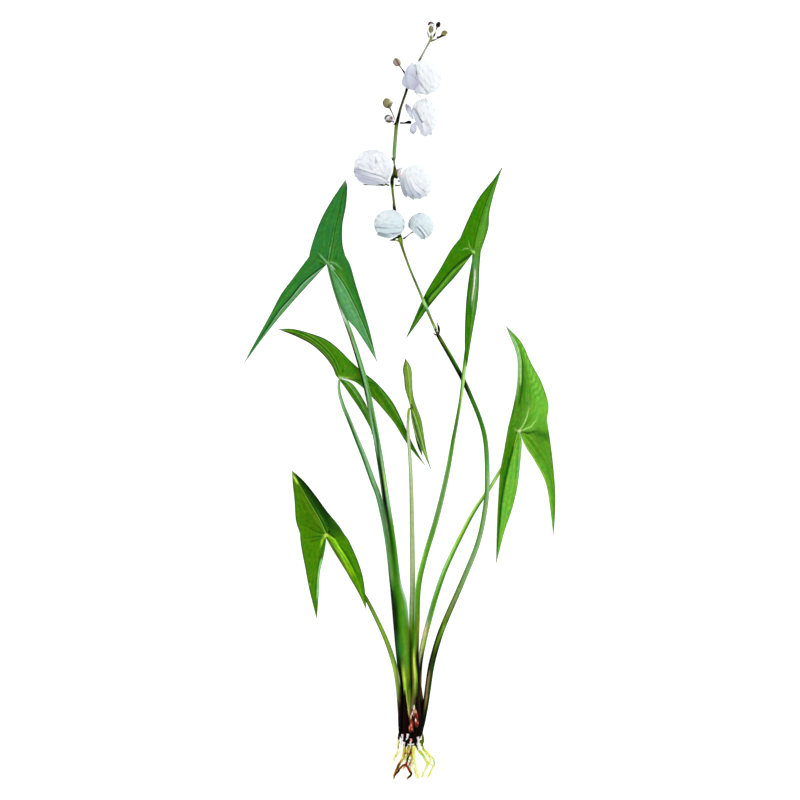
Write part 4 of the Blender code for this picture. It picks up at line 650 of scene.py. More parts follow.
# Marks on the buds: colour, half width, strength, the line in plan. The cream marks on the left and right tip
# buds are painted highlights, and the dusk mark down the left of the left tip bud is painted shade.
BUD_MARKS = {
    "tip_left": (
        ("mauve", 1, 0.85, (25, 280.8), (25.2, 277.6)), ("dusk", 0.9, 0.35, (22, 280), (22.2, 276.6)),
        ("mauve", 0.6, 0.5, (21.6, 276.4), (22, 275.4)), ("umber", 0.5, 0.6, (22.6, 281.6), (24, 281.4)),
        ("cream", 0.6, 0.8, (23.6, 275.4), (24.4, 276))),
    "tip_middle": (
        ("snow", 0.9, 1, (26.4, 283.6), (27, 284)), ("snow", 0.8, 0.9, (26.5, 280), (27, 279.4)),
        ("blush", 0.6, 0.95, (30.9, 282), (30.6, 280.4)), ("umber", 0.7, 0.9, (29.6, 279.6), (28.4, 279.2))),
    "tip_right": (
        ("plum", 1, 0.85, (31.6, 277.4), (33.6, 278)), ("bronze", 0.8, 0.85, (33.4, 276.6), (35, 275.6)),
        ("skin", 0.5, 0.8, (35.4, 277), (35.8, 275.6)), ("cream", 0.6, 0.8, (34.8, 273.9), (35.4, 274.6)),
        ("black", 0.7, 0.8, (31.4, 274), (32.6, 273.4)), ("cream", 0.5, 0.7, (34.2, 277.8), (35.2, 277.6))),
    "top": (
        ("maroon", 0.6, 0.85, (-3.4, 256.3), (-2.2, 254.4), (-1, 252.2)),
        ("mauve", 1, 0.5, (-4.6, 254.4), (-4, 252.2)), ("cream", 0.9, 0.55, (-0.2, 255.8), (0.3, 253.6)),
        ("plum", 0.7, 0.4, (-3.6, 251.4), (-2.2, 251)), ("dusk", 0.6, 0.6, (-0.2, 251.8), (0.6, 251))),
    "upper_large": (
        ("black", 0.6, 0.95, (-12.6, 224.4), (-12.5, 221.8)),
        ("umber", 0.8, 0.6, (-11.2, 225.6), (-9.6, 226.3)),
        ("umber", 0.7, 0.4, (-10.8, 224), (-10.4, 221.8)),
        ("black", 0.75, 0.85, (-9, 219.9), (-8.3, 221.2)),
        ("cream", 0.9, 0.7, (-7.4, 225.2), (-6.4, 223.8)),
        ("dusk", 0.6, 0.7, (-11.4, 220.6), (-10.2, 219.8))),
    "upper_small": (
        ("wine", 0.85, 1, (-11.2, 211.6), (-10.4, 213.2), (-8.6, 214.2)),
        ("mauve", 0.9, 1, (-7.4, 211.9), (-5.7, 212.6)), ("plum", 0.45, 0.8, (-7, 212.6), (-6.2, 211.4)),
        ("pink", 0.45, 0.3, (-5.4, 213.4), (-5.4, 211)), ("wine", 1.5, 1, (-9.6, 209.6), (-7, 209.2)),
        ("umber", 0.55, 0.8, (-9.2, 209.4), (-7.8, 209))),
}
SEPAL_TURN = 2.094       # a third of a full turn
SEPAL_THICKNESS = 0.12

# Bracts: foot, tip, width, depth and colours of each pointed scale at a joint of the flower stalk.
BRACTS = {
    "bare_joint": ((29.3, 51.4, 7.6), (27.8, 59, 8.6), 1.2, 1, "bark"),
    "low_whorl": ((-3.4, 121, 3.2), (-8.2, 120.4, 4.2), 1.6, 1, "black"),
    "middle_whorl": ((-3.2, 166.8, 5.6), (-0.4, 174, 6.6), 2.8, 1.2, "black dusk olive umber mauve"),
    "upper_whorl": ((-1.7, 209.8, 6), (-0.2, 216.2, 5.6), 1.6, 1, "black"),
    "tip": ((21.6, 272.4, 5.4), (20.5, 277.4, 6.4), 1.6, 0.9, "khaki dove mauve dove"),
}
BRACT_THICKNESS = 0.35
# Smaller scales beside them and at the other joints: foot, middle, tip, half width, colours to the tip.
SCALES = (
    ((29.2, 50.4, 6.8), (29.3, 54.8, 7.8), (27.4, 58.8, 8.6), 0.7, "black"),
    ((28.6, 49.4, 6.6), (26.6, 49.6, 6.8), (24.6, 51.4, 6.4), 0.6, "black black taupe"),
    ((26.4, 52.6, 6), (26.6, 53.4, 6.2), (26.3, 54.4, 6), 0.5, "black"),
    ((0.8, 123.4, 4.4), (-2.6, 122.4, 5.4), (-6.6, 120.8, 5.2), 0.8, "black"),
    ((1.2, 119, 3.8), (-1.4, 119.8, 4.6), (-4.4, 121.4, 4.2), 0.6, "olive"),
    ((-0.8, 123, 4.4), (-0.9, 123.8, 4.8), (-0.9, 124.8, 4.6), 0.9, "black"),
    ((-5.6, 165.6, 5), (-4.6, 168.4, 5.2), (-4, 170.8, 4.8), 0.9, "black night"),
    ((-2.6, 170.6, 6.4), (-1.8, 173, 6.6), (0.6, 174.8, 6.6), 0.5, "olive taupe mauve"),
    ((-5.2, 180.2, 4.4), (-5.8, 181.4, 4.6), (-6.2, 182.8, 4.4), 0.5, "night"),
    ((-10.4, 162, 6.2), (-13, 161.6, 6.6), (-16.2, 161.7, 6.4), 0.6, "olive black black"),
    ((-3.6, 168.8, 5.6), (-3, 171.6, 5.8), (-3.2, 175, 5.4), 0.9, "dusk umber black"),
    ((10.6, 231.8, 10), (13.4, 229.4, 10.4), (16.2, 227.2, 10.4), 0.22, "stone taupe umber"),
    ((18.4, 227.4, 10.4), (20, 225.6, 10.4), (21.4, 223.8, 10.4), 0.25, "taupe umber taupe"),
    ((-2.6, 208.4, 4.6), (-3.8, 207.6, 4.8), (-4.9, 207, 4.4), 0.9, "black"),
    ((27.4, 272.4, 5.8), (30, 272.7, 6.4), (33.2, 273.8, 6.8), 0.85, "umber bark black black"),
    ((-8, 222, 7), (-6.2, 222.8, 7.2), (-4.9, 224.4, 6.6), 0.6, "stone stone taupe"),
)
SCALE_THICKNESS = 0.3
# Petals that show beside the balls and at the tip: foot, middle, tip, half width, colours from foot to tip.
LOOSE_PETALS = (
    ((23.9, 279.6, 5.4), (23.9, 282.2, 6), (23.4, 283.8, 5.6), 2, "snow"),
    ((20.9, 281.6, 5.9), (22.8, 283.5, 6.3), (25.6, 282.6, 6.1), 0.85, "plum plum wine mauve mauve haze"),
    ((0.4, 165.8, 8.6), (-0.8, 170.2, 9.2), (1.2, 175, 8.8), 1.2, "frost snow blush snow cloud"),
    ((0.4, 165, 8.4), (-0.9, 164.6, 8.2), (-1.8, 165.4, 7.6), 0.7, "gull gull cloud"),
)

CORM_CENTRE = (7.7, -250.0, 6.6)
CORM_RADII = (8.2, 7.0, 7.4)
CORM_LUMPS = 26
CORM_PAINT = "black bark bark"
CORM_SEED = 7
# Dark sheaths round the foot of the stalks: foot, middle, tip, half width, colours from foot to tip.
SHEATHS = (
    ((15.2, -250.4, 8.4), (16.4, -235, 9.6), (15.8, -212, 6.4), 2.6, "bark bark bark tan"),
    ((13.2, -251, 11.6), (14, -238, 12.4), (14.4, -220, 12), 2.4, "bark bark wine dusk"),
    ((0.6, -250, 9), (0.8, -238, 11), (1.6, -218, 10.4), 2.4, "bark bark bark black"),
    ((4.4, -251.6, 13), (4.6, -240, 13.6), (3.6, -216, 12.6), 2.8, "bark bark bark black"),
    ((9.6, -252, 13.6), (11.8, -242, 14.4), (13, -226, 13.4), 2.6, "bark"),
    ((-0.9, -253.8, 8.2), (-0.7, -249.8, 9.4), (0.2, -245, 10), 0.9, "black black bark"),
    ((4.2, -259, 8.4), (5.2, -255.4, 12), (6.6, -250, 14), 1.2, "black black bark"),
    ((11.2, -258.6, 8.4), (11.6, -255.4, 11.4), (11.4, -250, 13.6), 1.1, "black black bark"),
    ((16, -258.4, 5.4), (17.2, -252.6, 7.6), (15.6, -245.6, 8.2), 1.2, "dusk olive tan"),
)
# Young shoots: foot, tip, radius.
SHOOTS = {
    "left": ((8.8, -247.6, 15.4), (8.4, -233.5, 15.4), 1.5),
    "right": ((12.2, -244, 14.8), (10.8, -228, 15.2), 1.4),
}
SHOOT_PAINT = "bark red rust maroon skin"
SHOOT_RINGS = 24         # rings of points along a shoot
# Scales of the two young shoots: foot, tip, half width, colours from foot to tip.
SHOOT_SCALES = {
    "left": (
        ((8, -248.2, 15), (7.8, -241.2, 16), 1.6, "bark red red rust"),
        ((9, -247.4, 15.8), (8.8, -243.6, 16.8), 0.9, "pink red tan red"),
        ((7, -246, 15.2), (7.4, -241.8, 16.2), 0.7, "red pink maroon"),
        ((8.2, -243.6, 16.2), (8.6, -240.4, 17), 0.6, "skin pink red"),
        ((9.4, -243, 15.4), (9.6, -239.4, 16.2), 0.9, "black maroon red"),
        ((8.4, -239.6, 15), (8.2, -234.4, 15.8), 0.8, "black skin cream"),
        ((9.6, -238, 15.4), (10.4, -234, 16.2), 0.7, "black bark skin"),
        ((9, -235.6, 15.6), (9.4, -231.6, 16), 0.6, "red blush skin")),
    "right": (
        ((13, -244.2, 14.6), (11.6, -238, 16.2), 1, "maroon red red"),
        ((12.2, -240.6, 15.8), (11.4, -237.2, 16.8), 0.7, "red pink snow pink"),
        ((13.4, -241.6, 15), (13.2, -237.4, 15.9), 0.6, "pink red maroon"),
        ((12.8, -238.2, 14.8), (12.6, -232.4, 15.9), 1, "wine red rust"),
        ((11.6, -237.4, 15.2), (11, -233.4, 16.2), 0.7, "black bark red"),
        ((12, -234.6, 15.4), (11.6, -229.8, 16.2), 0.7, "red skin maroon"),
        ((10.8, -235, 15.2), (10.2, -229.6, 15.9), 0.8, "maroon skin blush"),
        ((10.4, -232, 15.2), (10.6, -227, 15.6), 0.8, "tan cream cream"),
        ((9.4, -230.8, 14.6), (9.2, -227.2, 15), 0.5, "tan stone olive")),
}
SHOOT_SCALE_THICKNESS = 0.25
# Roots, each with the colours along it, that of its edges, its thickness near the corm and at its tip, and
# its route from the corm outwards.
ROOTS = (
    ("cream straw black straw cream cream", "yellow", 1.5, 0.9, (-1.4, -252.2, 4), (-1, -256, 2.4),
     (-1.6, -262, 1), (-3.2, -268, 0.8)),
    ("olive amber yellow amber straw amber red bark rust amber maroon rust", "yellow", 2.5, 1.9,
     (3.6, -257.2, 4.6), (3.4, -261, 3), (1.8, -267, 1.4), (-0.8, -273, 1), (-3.8, -279, 0.9),
     (-4.6, -284, 0.8)),
    ("olive amber rust yellow cream amber straw", "yellow", 2, 1.4, (6.6, -258, 7.4), (5.8, -262.5, 5.2),
     (5.4, -267.5, 3), (4, -273, 1.6), (2, -277, 1)),
    ("red rust amber yellow skin red cream yellow straw amber straw", "yellow", 2.1, 1.3, (9.2, -258.1, 5),
     (8.2, -262.5, 3.2), (8.6, -268, 1.6), (7.4, -274, 1), (8.4, -280, 0.9), (4.6, -284.4, 0.9)),
    ("straw yellow straw straw cream straw yellow", "yellow", 2.6, 1.8, (10.6, -257.8, 8.4),
     (10.2, -263, 5.6), (11, -270, 2.6), (12.4, -277, 1.2), (13.6, -283.5, 0.9)),
    ("black olive yellow lime straw yellow cream straw yellow", "lime", 2.3, 1.7, (12.4, -256.9, 4.2),
     (14.2, -261.5, 2.4), (18.4, -267, 1.1), (20.8, -272, 1), (18.6, -277, 0.9), (16.2, -283, 0.9)),
    ("olive olive yellow straw pale straw yellow straw", "lime", 2, 1.3, (15.2, -254.4, 6.2),
     (16.6, -258, 4.4), (18.8, -262.5, 2.8), (24, -267, 1.6), (25.8, -272, 1.2), (23.2, -278, 1),
     (19.6, -284.2, 0.9)),
    ("straw cream straw cream", "straw", 1.2, 0.7, (-1.4, -253.4, 8), (-2, -257, 6), (-2.6, -263, 3.2),
     (-5.2, -269, 1.4), (-7, -274, 0.9)),
)
# More roots, drawn the same way.
SIDE_ROOTS = (
    ("blush snow snow cream", "blush", 1.9, 0.9, (1.9, -249.2, 11.8), (1.7, -252.6, 10.6), (1, -255.6, 7.4),
     (0.6, -258, 4.8)),
    ("blush snow snow cream yellow", "blush", 1.8, 1, (5.9, -248.8, 13.8), (5.4, -251.6, 13),
     (4.2, -255.4, 9), (3, -260, 4)),
    ("pink blush snow cream yellow", "skin", 1.5, 1, (8.2, -252.6, 13.4), (8.3, -255, 11.6),
     (7.8, -258.4, 7.4), (7, -263, 3.4)),
    ("blush snow snow cream", "blush", 2, 1.1, (13.4, -251.4, 12.2), (13.7, -254.6, 10),
     (13.8, -258.4, 6.2), (14.2, -263, 2.6)),
    ("straw cream straw yellow straw", "yellow", 1.3, 0.9, (15, -256, 6), (17.4, -261, 3.6),
     (21, -266, 1.8), (22.6, -270, 1.2), (20, -274.5, 1)),
    ("yellow rust red black bark red rust red black bark rust", "bark", 1.9, 1.6, (9.4, -258.6, 5.6),
     (8.4, -263, 4), (6.2, -267, 3), (4.8, -271.4, 2.4), (6, -275.4, 2), (8.3, -279.6, 1.6), (5, -283.8, 1)),
    ("black red rust black black bark rust", "rust", 1.7, 1.6, (4, -272.4, 2.2), (1.4, -274.2, 2),
     (-1.4, -277.4, 2), (-4.4, -281.4, 2)),
    ("yellow red bark red yellow", "red", 1, 0.8, (1.4, -268, 1.8), (-1.2, -273.6, 1.4), (-3.6, -279.6, 1),
     (-4.8, -283.4, 0.9)),
    ("bark yellow olive yellow rust", "rust", 1.2, 0.9, (6.6, -258, 6.4), (5.4, -261.6, 5.2),
     (3.4, -266.4, 3.2), (1.6, -270.4, 2)),
    ("yellow straw cream straw", "yellow", 1, 0.8, (9.8, -262, 5), (9.6, -270, 2.4), (10.6, -277, 1.4),
     (12, -283, 0.9)),
    ("cream straw cream", "straw", 0.9, 0.6, (0.4, -262, 3), (-2.6, -266, 1.6), (-6.2, -268.4, 1)),
    ("yellow straw cream", "lime", 1.2, 0.9, (20.6, -271, 1.4), (23.6, -272.6, 1.2), (24.6, -274.4, 1)),
)
ROOT_SEED = 21
ROOT_RINGS = 48
ROOTLET_RINGS = 30
ROOT_BENDS = 14
ROOT_WANDER = (0.30, 0.2, 0.1)  # how far its own bends take a root off its route
ROOTLET_COUNT = 14
ROOTLET_STEPS = 10
ROOTLET_PAINT = ("yellow cream", "cream straw", "straw cream", "straw tan straw")
# The field that the rootlets keep to: lowest and highest x, and lowest y.
ROOTLET_FIELD = (-8.5, 25.6, -284.3)

FLOOR_HALF = 20.0        # in metres
FLOOR_DROP = 0.1 * MM
FLOOR_GREY = 0.55
FLOOR_GLOW = 0.8         # lifts the plain floor to an even near white
# Lamps: name, where they stand as seen from the plant, strength, width as an angle in degrees.
LAMPS = (("key", (0.75, 0.55, 1.2), 1.25, 50), ("fill", (-0.9, -0.3, 1.0), 0.6, 70))
# The camera looks straight down from far above, with a long lens.
EYE = (0, 0.75 * MM, 5.0)
LENS = 300
SENSOR_WIDTH = 36
VIEW_DEPTH = 50


def linear(name):
    """The surface colour, as linear light, that shows as a named colour under the studio light."""
    share = np.array(PALETTE[name]) / 255
    shown = np.where(share <= 0.04045, share / 12.92, ((share + 0.055) / 1.055) ** 2.4)
    return shown / STUDIO_LIGHT


def blended(names, shares):
    """Colours at shares from 0 to 1 of a row of named colours spaced evenly."""
    stops = np.array([linear(name) for name in names.split()])
    spots = np.linspace(0, 1, len(stops))
    return np.stack([np.interp(shares, spots, stops[:, k]) for k in range(3)], axis=-1)


def mix(a, b, share):
    """From a to b by a share, point by point."""
    share = np.asarray(share)[..., None]
    return a * (1 - share) + b * share


def touched(tint, name, share):
    """A colour with a share of a named one."""
    return mix(tint, linear(name), share)


def ramp(value, low, high):
    """0 below low, 1 above high, and smooth between them."""
    t = np.clip((value - low) / (high - low), 0, 1)
    return t * t * (3 - 2 * t)


def bell(distance, half_width):
    """1 on a line, fading away past its half width."""
    return np.exp(-(distance / half_width) ** 2)


def rounded(t, start):
    """1 up to a start, and from there the round end of a petal down to nearly 0 at t = 1."""
    return np.sqrt(1 - np.clip((t - start) / (1 - start), 0, 0.9995) ** 2)


def stacked(*parts):
    """Values that spread over one grid, side by side along a new last axis."""
    return np.stack(np.broadcast_arrays(*parts), axis=-1)


def unit(vectors):
    """The same directions, one long."""
    return vectors / np.linalg.norm(vectors, axis=-1, keepdims=True)


def reach(points):
    """The distance along the points up to each of them."""
    steps = np.linalg.norm(np.diff(points, axis=0), axis=1)
    return np.concatenate([[0.0], np.cumsum(steps)])


def curve(points, shares):
    """Places at shares of the length of the smooth curve through the points."""
    p = np.array(points, float)
    lengths = reach(p)
    along = np.clip(shares, 0, 1) * lengths[-1]
    k = np.clip(np.searchsorted(lengths, along) - 1, 0, len(p) - 2)
    t = ((along - lengths[k]) / (lengths[k + 1] - lengths[k]))[:, None]
    q = np.vstack([2 * p[0] - p[1], p, 2 * p[-1] - p[-2]])
    p0, p1, p2, p3 = q[k], q[k + 1], q[k + 2], q[k + 3]
    return 0.5 * (2 * p1 + (p2 - p0) * t + (2 * p0 - 5 * p1 + 4 * p2 - p3) * t ** 2
                  + (3 * p1 - p0 - 3 * p2 + p3) * t ** 3)


def sides_of(middles):
    """The way to the side and the way up at each point of a line in space."""
    along = unit(np.gradient(middles, axis=0))
    side = unit(np.cross(along, (0, 0, 1)))
    return side, np.cross(side, along)


def plan_distance(points, line):
    """Distance from each point to a line of points, seen from above, and how far along the line it is."""
    line = np.array(line, float)
    flat = points[..., :2]
    lengths = reach(line)
    best, share = np.full(flat.shape[:-1], 1e9), np.zeros(flat.shape[:-1])
    for n, (a, b) in enumerate(zip(line, line[1:])):
        span = b - a
        part = np.clip((flat - a) @ span / (span @ span), 0, 1)
        away = np.linalg.norm(flat - a - part[..., None] * span, axis=-1)
        here = (lengths[n] + part * (lengths[n + 1] - lengths[n])) / lengths[-1]
        share = np.where(away < best, here, share)
        best = np.minimum(best, away)
    return best, share


def globe(rows, columns):
    """Polar angles, turns round the axis and directions of the points of a ball."""
    polar = np.linspace(0, np.pi, rows)[:, None]
    spin = np.linspace(0, 2 * np.pi, columns, endpoint=False)[None]
    return polar, spin, stacked(np.sin(polar) * np.cos(spin), np.sin(polar) * np.sin(spin), np.cos(polar))


def placed(name, data):
    """Puts a new object of the data into the scene."""
    obj = bpy.data.objects.new(name, data)
    bpy.context.scene.collection.objects.link(obj)
    return obj


class Patches:
    """Gathers points, faces, colours, grain coordinates and thicknesses, and makes one piece of them."""

    def __init__(self):
        self.points, self.faces, self.tints, self.grains, self.weights = [], [], [], [], []
        self.count = 0

    def add_grid(self, points, tint, grain, closed=False, weight=1.0, caps=False):
        """Adds a grid of points, whose last column may join its first and whose ends may be capped."""
        rows, columns = points.shape[:2]
        for r in range(rows - 1):
            for c in range(columns if closed else columns - 1):
                n = (c + 1) % columns
                corners = (r * columns + c, r * columns + n, (r + 1) * columns + n, (r + 1) * columns + c)
                self.faces.append(tuple(self.count + k for k in corners))
        for row in (0, rows - 1) if caps else ():
            self.faces.append(tuple(self.count + row * columns + k for k in range(columns)))
        self.points.append(points.reshape(-1, 3))
        self.tints.append(np.broadcast_to(tint, points.shape).reshape(-1, 3))
        self.grains.append(np.broadcast_to(grain, points.shape).reshape(-1, 3))
        self.weights.append(np.broadcast_to(weight, (rows, columns)).reshape(-1))
        self.count += rows * columns

    def piece(self, name, look, slot, *nodes, thickness=0.0, offset=0.0, sharp=60):
        """Makes the mesh, rides it on the plant and hides the imported parts of the nodes it stands for."""
        mesh = bpy.data.meshes.new(name)
        mesh.from_pydata((np.vstack(self.points) * MM).tolist(), [], self.faces)
        rgba = np.hstack([np.vstack(self.tints), np.ones((self.count, 1))])
        for title, kind, key, values in (("tint", "FLOAT_COLOR", "color", rgba),
                                         ("grain", "FLOAT_VECTOR", "vector", np.vstack(self.grains)),
                                         ("thickness_share", "FLOAT", "value", np.concatenate(self.weights))):
            layer = mesh.attributes.new(title, kind, "POINT")
            layer.data.foreach_set(key, values.astype(np.float32).ravel())
        bm = bmesh.new()
        bm.from_mesh(mesh)
        bmesh.ops.remove_doubles(bm, verts=bm.verts, dist=WELD * MM)
        bmesh.ops.dissolve_degenerate(bm, edges=bm.edges, dist=WELD * MM)
        bmesh.ops.recalc_face_normals(bm, faces=bm.faces)
        if thickness and sum(f.normal.z * f.calc_area() for f in bm.faces) < 0:
            bmesh.ops.reverse_faces(bm, faces=bm.faces)
        bm.to_mesh(mesh)
        bm.free()
        mesh.shade_smooth()
        mesh.set_sharp_from_angle(angle=math.radians(sharp))
        mesh.materials.append(LOOKS[look])
        obj = placed(name, mesh)
        if thickness:
            group = obj.vertex_groups.new(name="thickness")
            for k, item in enumerate(mesh.attributes["thickness_share"].data):
                group.add([k], item.value, "REPLACE")
            solid = obj.modifiers.new("thickness", "SOLIDIFY")
            solid.thickness = thickness * MM
            solid.offset = offset
            solid.vertex_group = "thickness"
        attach(obj, "root")
        if nodes:
            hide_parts(*nodes)


class Graph:
    """The nodes of one material or of the world."""

    def __init__(self, owner):
        owner.use_nodes = True
        self.owner, self.tree = owner, owner.node_tree

    def fill(self, node, inputs):
        """Gives inputs of a node their values or other nodes' outputs."""
        for key, value in inputs.items():
            if isinstance(value, bpy.types.NodeSocket):
                self.tree.links.new(value, node.inputs[key])
            else:
                node.inputs[key].default_value = value

    def add(self, kind, inputs, output=0, **settings):
        """Adds a node with its inputs and settings, and returns one of its outputs."""
        node = self.tree.nodes.new(kind)
        for key, value in settings.items():
            setattr(node, key, value)
        self.fill(node, inputs)
        return node.outputs[output]

    def plus(self, a, b):
        return self.add("ShaderNodeMath", {0: a, 1: b}, operation="ADD")

    def times(self, a, b, kind="ShaderNodeMath"):
        return self.add(kind, {0: a, 1: b}, operation="MULTIPLY")

    def scaled(self, vector, length, width):
        """Coordinates in units of a length and a width in millimetres."""
        return self.times(vector, (1 / length, 1 / width, 1.0), "ShaderNodeVectorMath")

    def noise(self, vector, length, width, detail=3.0):
        return self.add("ShaderNodeTexNoise", {"Vector": self.scaled(vector, length, width), "Scale": 1.0,
                                               "Detail": detail}, "Fac")

    def ranged(self, value, low, high, to_low, to_high, **settings):
        return self.add("ShaderNodeMapRange", {"Value": value, "From Min": low, "From Max": high,
                                               "To Min": to_low, "To Max": to_high}, **settings)


def plant_material(name, roughness, gloss, streak, mottle, cells, relief, glow=0.0):
    """Coloured tissue with lengthwise streaks, blotches, and a net of fine raised cells or veinlets.

    streak and cells: length and width in millimetres, then strength. mottle: size, strength and how far the
    hue wanders. relief: height in millimetres. glow: how much light scatters inside.
    """
    g = Graph(bpy.data.materials.new(name))
    tint = g.add("ShaderNodeAttribute", {}, "Color", attribute_name="tint")
    grain = g.add("ShaderNodeAttribute", {}, "Vector", attribute_name="grain")
    lines = g.noise(grain, *streak[:2])
    blotches = g.noise(grain, mottle[0], mottle[0])
    drift = g.noise(grain, 3 * mottle[0], 2 * mottle[0], 2.0)
    net = g.add("ShaderNodeTexVoronoi", {"Vector": g.scaled(grain, *cells[:2]), "Scale": 1.0}, "Distance",
                feature="DISTANCE_TO_EDGE")
    wall = g.ranged(net, 0.0, 0.12, 1.0, 0.0)
    shade = g.plus(g.ranged(lines, 0.3, 0.7, 1 - streak[2], 1 + streak[2]),
                   g.ranged(blotches, 0.3, 0.7, -mottle[1], mottle[1]))
    shade = g.plus(shade, g.times(wall, cells[2]))
    hue = g.ranged(drift, 0.3, 0.7, 0.5 - mottle[2], 0.5 + mottle[2])
    base = g.add("ShaderNodeHueSaturation", {"Hue": hue, "Saturation": 1.0, "Value": shade, "Color": tint})
    height = g.plus(g.times(lines, 0.7), g.times(wall, 0.5))
    bump = g.add("ShaderNodeBump", {"Height": height, "Strength": 1.0, "Distance": relief * MM})
    rough = g.plus(g.ranged(blotches, 0.2, 0.8, roughness - 0.08, roughness + 0.08), g.times(wall, 0.06))
    inputs = {"Base Color": base, "Roughness": rough, "Normal": bump, "Specular IOR Level": gloss}
    if glow:
        inputs |= {"Subsurface Weight": glow, "Subsurface Radius": (1.0, 1.0, 1.0),
                   "Subsurface Scale": 0.5 * MM}
    g.fill(g.tree.nodes["Principled BSDF"], inputs)
    return g.owner


LOOKS = {name: plant_material(name, *values) for name, values in {
    "leaf_blade": (0.45, 0.02, (9.0, 0.8, 0.16), (2.4, 0.16, 0.014), (1.6, 0.8, 0.09), 0.05),
    "stalk": (0.40, 0.03, (14.0, 0.5, 0.14), (3.0, 0.10, 0.008), (2.6, 0.2, 0.04), 0.04),
    "petal": (0.60, 0.10, (7.0, 0.5, 0.015), (3.0, 0.015, 0.0), (2.2, 0.5, -0.01), 0.03, 0.15),
    "bud": (0.55, 0.05, (3.0, 0.5, 0.18), (1.2, 0.15, 0.01), (0.9, 0.3, 0.08), 0.05),
    "corm": (0.75, 0.03, (5.0, 0.5, 0.45), (2.2, 0.25, 0.01), (3.0, 0.5, -0.35), 0.20),
    "young_shoot": (0.45, 0.08, (6.0, 0.5, 0.2), (1.2, 0.25, 0.01), (1.4, 0.3, 0.06), 0.05, 0.1),
    "root": (0.55, 0.05, (4.0, 0.4, 0.12), (1.5, 0.10, 0.01), (1.0, 0.3, -0.06), 0.06, 0.15),
}.items()}


def lobe_lines(leaf, lobe, starts):
    """The vein and the two margins of a lobe as rows of points."""
    tip, middles, *plans = leaf[lobe]
    u = np.linspace(0, 1, BLADE_ROWS + 1)
    lines = []
    for start, plan, middle in zip((leaf["junction"], *starts), plans, middles):
        height = start[2] * (1 - u) * (1 - 2 * u) + 4 * middle * u * (1 - u) + tip[2] * u * (2 * u - 1)
        lines.append(np.column_stack([curve([start[:2], *plan, tip[:2]], u), height]))
    return lines


def add_leaf_blade(place):
    leaf, paint = LEAVES[place], LEAF_PAINT[place]
    seed = sorted(LEAVES).index(place)
    left, right = leaf["shoulders"]
    junction = leaf["junction"]
    patches = Patches()
    v = np.linspace(0, 1, BLADE_COLUMNS + 1)[None]
    u = np.linspace(0, 1, BLADE_ROWS + 1)[:, None]
    for key, starts in (("front", (left, right)), ("left", (left, junction)), ("right", (right, junction))):
        vein, *margins = lobe_lines(leaf, key, starts)
        rib, *halves = paint[key]
        for side, (margin, (colours, *strokes)) in enumerate(zip(margins, halves)):
            width = np.linalg.norm(margin - vein, axis=1)[:, None]
            points = vein[:, None] + (margin - vein)[:, None] * v[..., None]
            points[..., 2] += BLADE_BOW * width * 4 * v * (1 - v)
            inward, outward = width * v, width * (1 - v)
            tint = blended(colours, v)
            if (key, side) in NEIGHBOURS:
                lobe, half = NEIGHBOURS[key, side]
                seam = (tint + blended(paint[lobe][half + 1][0], v)) / 2
                tint = mix(seam, tint, ramp(u, 0.0, 0.14))
            height = np.zeros_like(inward)
            for n, spot in enumerate(BLADE_LINES):
                path = spot * (1 - (1 - np.minimum(u / 0.5, 1)) ** 2)
                line = bell(np.abs(v - path) * width, 0.35) * ramp(width, 2.0, 6.0) * ramp(u, 0.02, 0.1)
                tint = mix(tint, tint * (1.4, 0.7)[n % 2], 0.4 * line)
                height -= LINE_DEPTH * line
            colour, half, strength = rib
            share = bell(inward, half)
            tint = touched(tint, colour, strength * share * (1 - 0.5 * u))
            height -= RIB_DEPTH * share * ramp(u, 0.0, 0.05)
            for colour, offset, half, first, last, strength in strokes:
                away = inward - offset if offset >= 0 else outward + offset
                stretch = ramp(u, first - 0.04, first + 0.04) * (1 - ramp(u, last - 0.15, last))
                tint = touched(tint, colour, strength * bell(away, half) * stretch)
            for colour, half, strength, *line in paint["veins"]:
                away, along = plan_distance(points, line)
                share = bell(away, half * (1 - 0.4 * along)) * (1 - ramp(along, 0.45, 1.0))
                tint = touched(tint, colour, strength * share)
            if paint.get("ripples", ())[:2] == (key, side):
                first, last, count, strength = paint["ripples"][2:]
                phase = 2 * math.pi * count * (u - 0.06 * v) + 2.5 * np.sin(11 * u + 5 * v) * np.sin(4 * v)
                share = np.sin(phase) * ramp(u, first, first + 0.1) * (1 - ramp(u, last, last + 0.1))
                share = share * ramp(v, 0.1, 0.3) * (1 - ramp(v, 0.75, 1.0))
                # painted light and shade: the colour brightens on the ripples' crests and darkens in their
                # troughs
                tint = tint * (1 + strength * 0.5 * share)[..., None]
                height += LINE_DEPTH * share
            tint = touched(tint, paint["edge"], 0.75 * bell(outward, 0.5) * ramp(u, 0.02, 0.1))
            tint = touched(tint, paint["tip"], 0.75 * ramp(u, 0.88, 1.0))
            star = bell(np.linalg.norm(points[..., :2] - np.array(junction[:2]), axis=-1), 1.0)
            tint = touched(tint, paint["star"], 0.7 * star)
            wave = MARGIN_WAVE * v ** 3 * np.sin(9 * u * math.pi + seed + side) * ramp(width, 3.0, 8.0)
            points[..., 2] += height + wave * ramp(u, 0.05, 0.2) + BLADE_RAISE
            patches.add_grid(points, tint, stacked(u * reach(vein)[-1], inward * (1 - 2 * side), seed),
                             weight=0.5 + 0.5 * bell(inward, 1.1) * (1 - 0.6 * u))
    patches.piece(f"leaf_{place}", "leaf_blade", "leaf_blade", f"leaf_blade_{place}",
                  thickness=BLADE_THICKNESS, offset=-1.0, sharp=70)


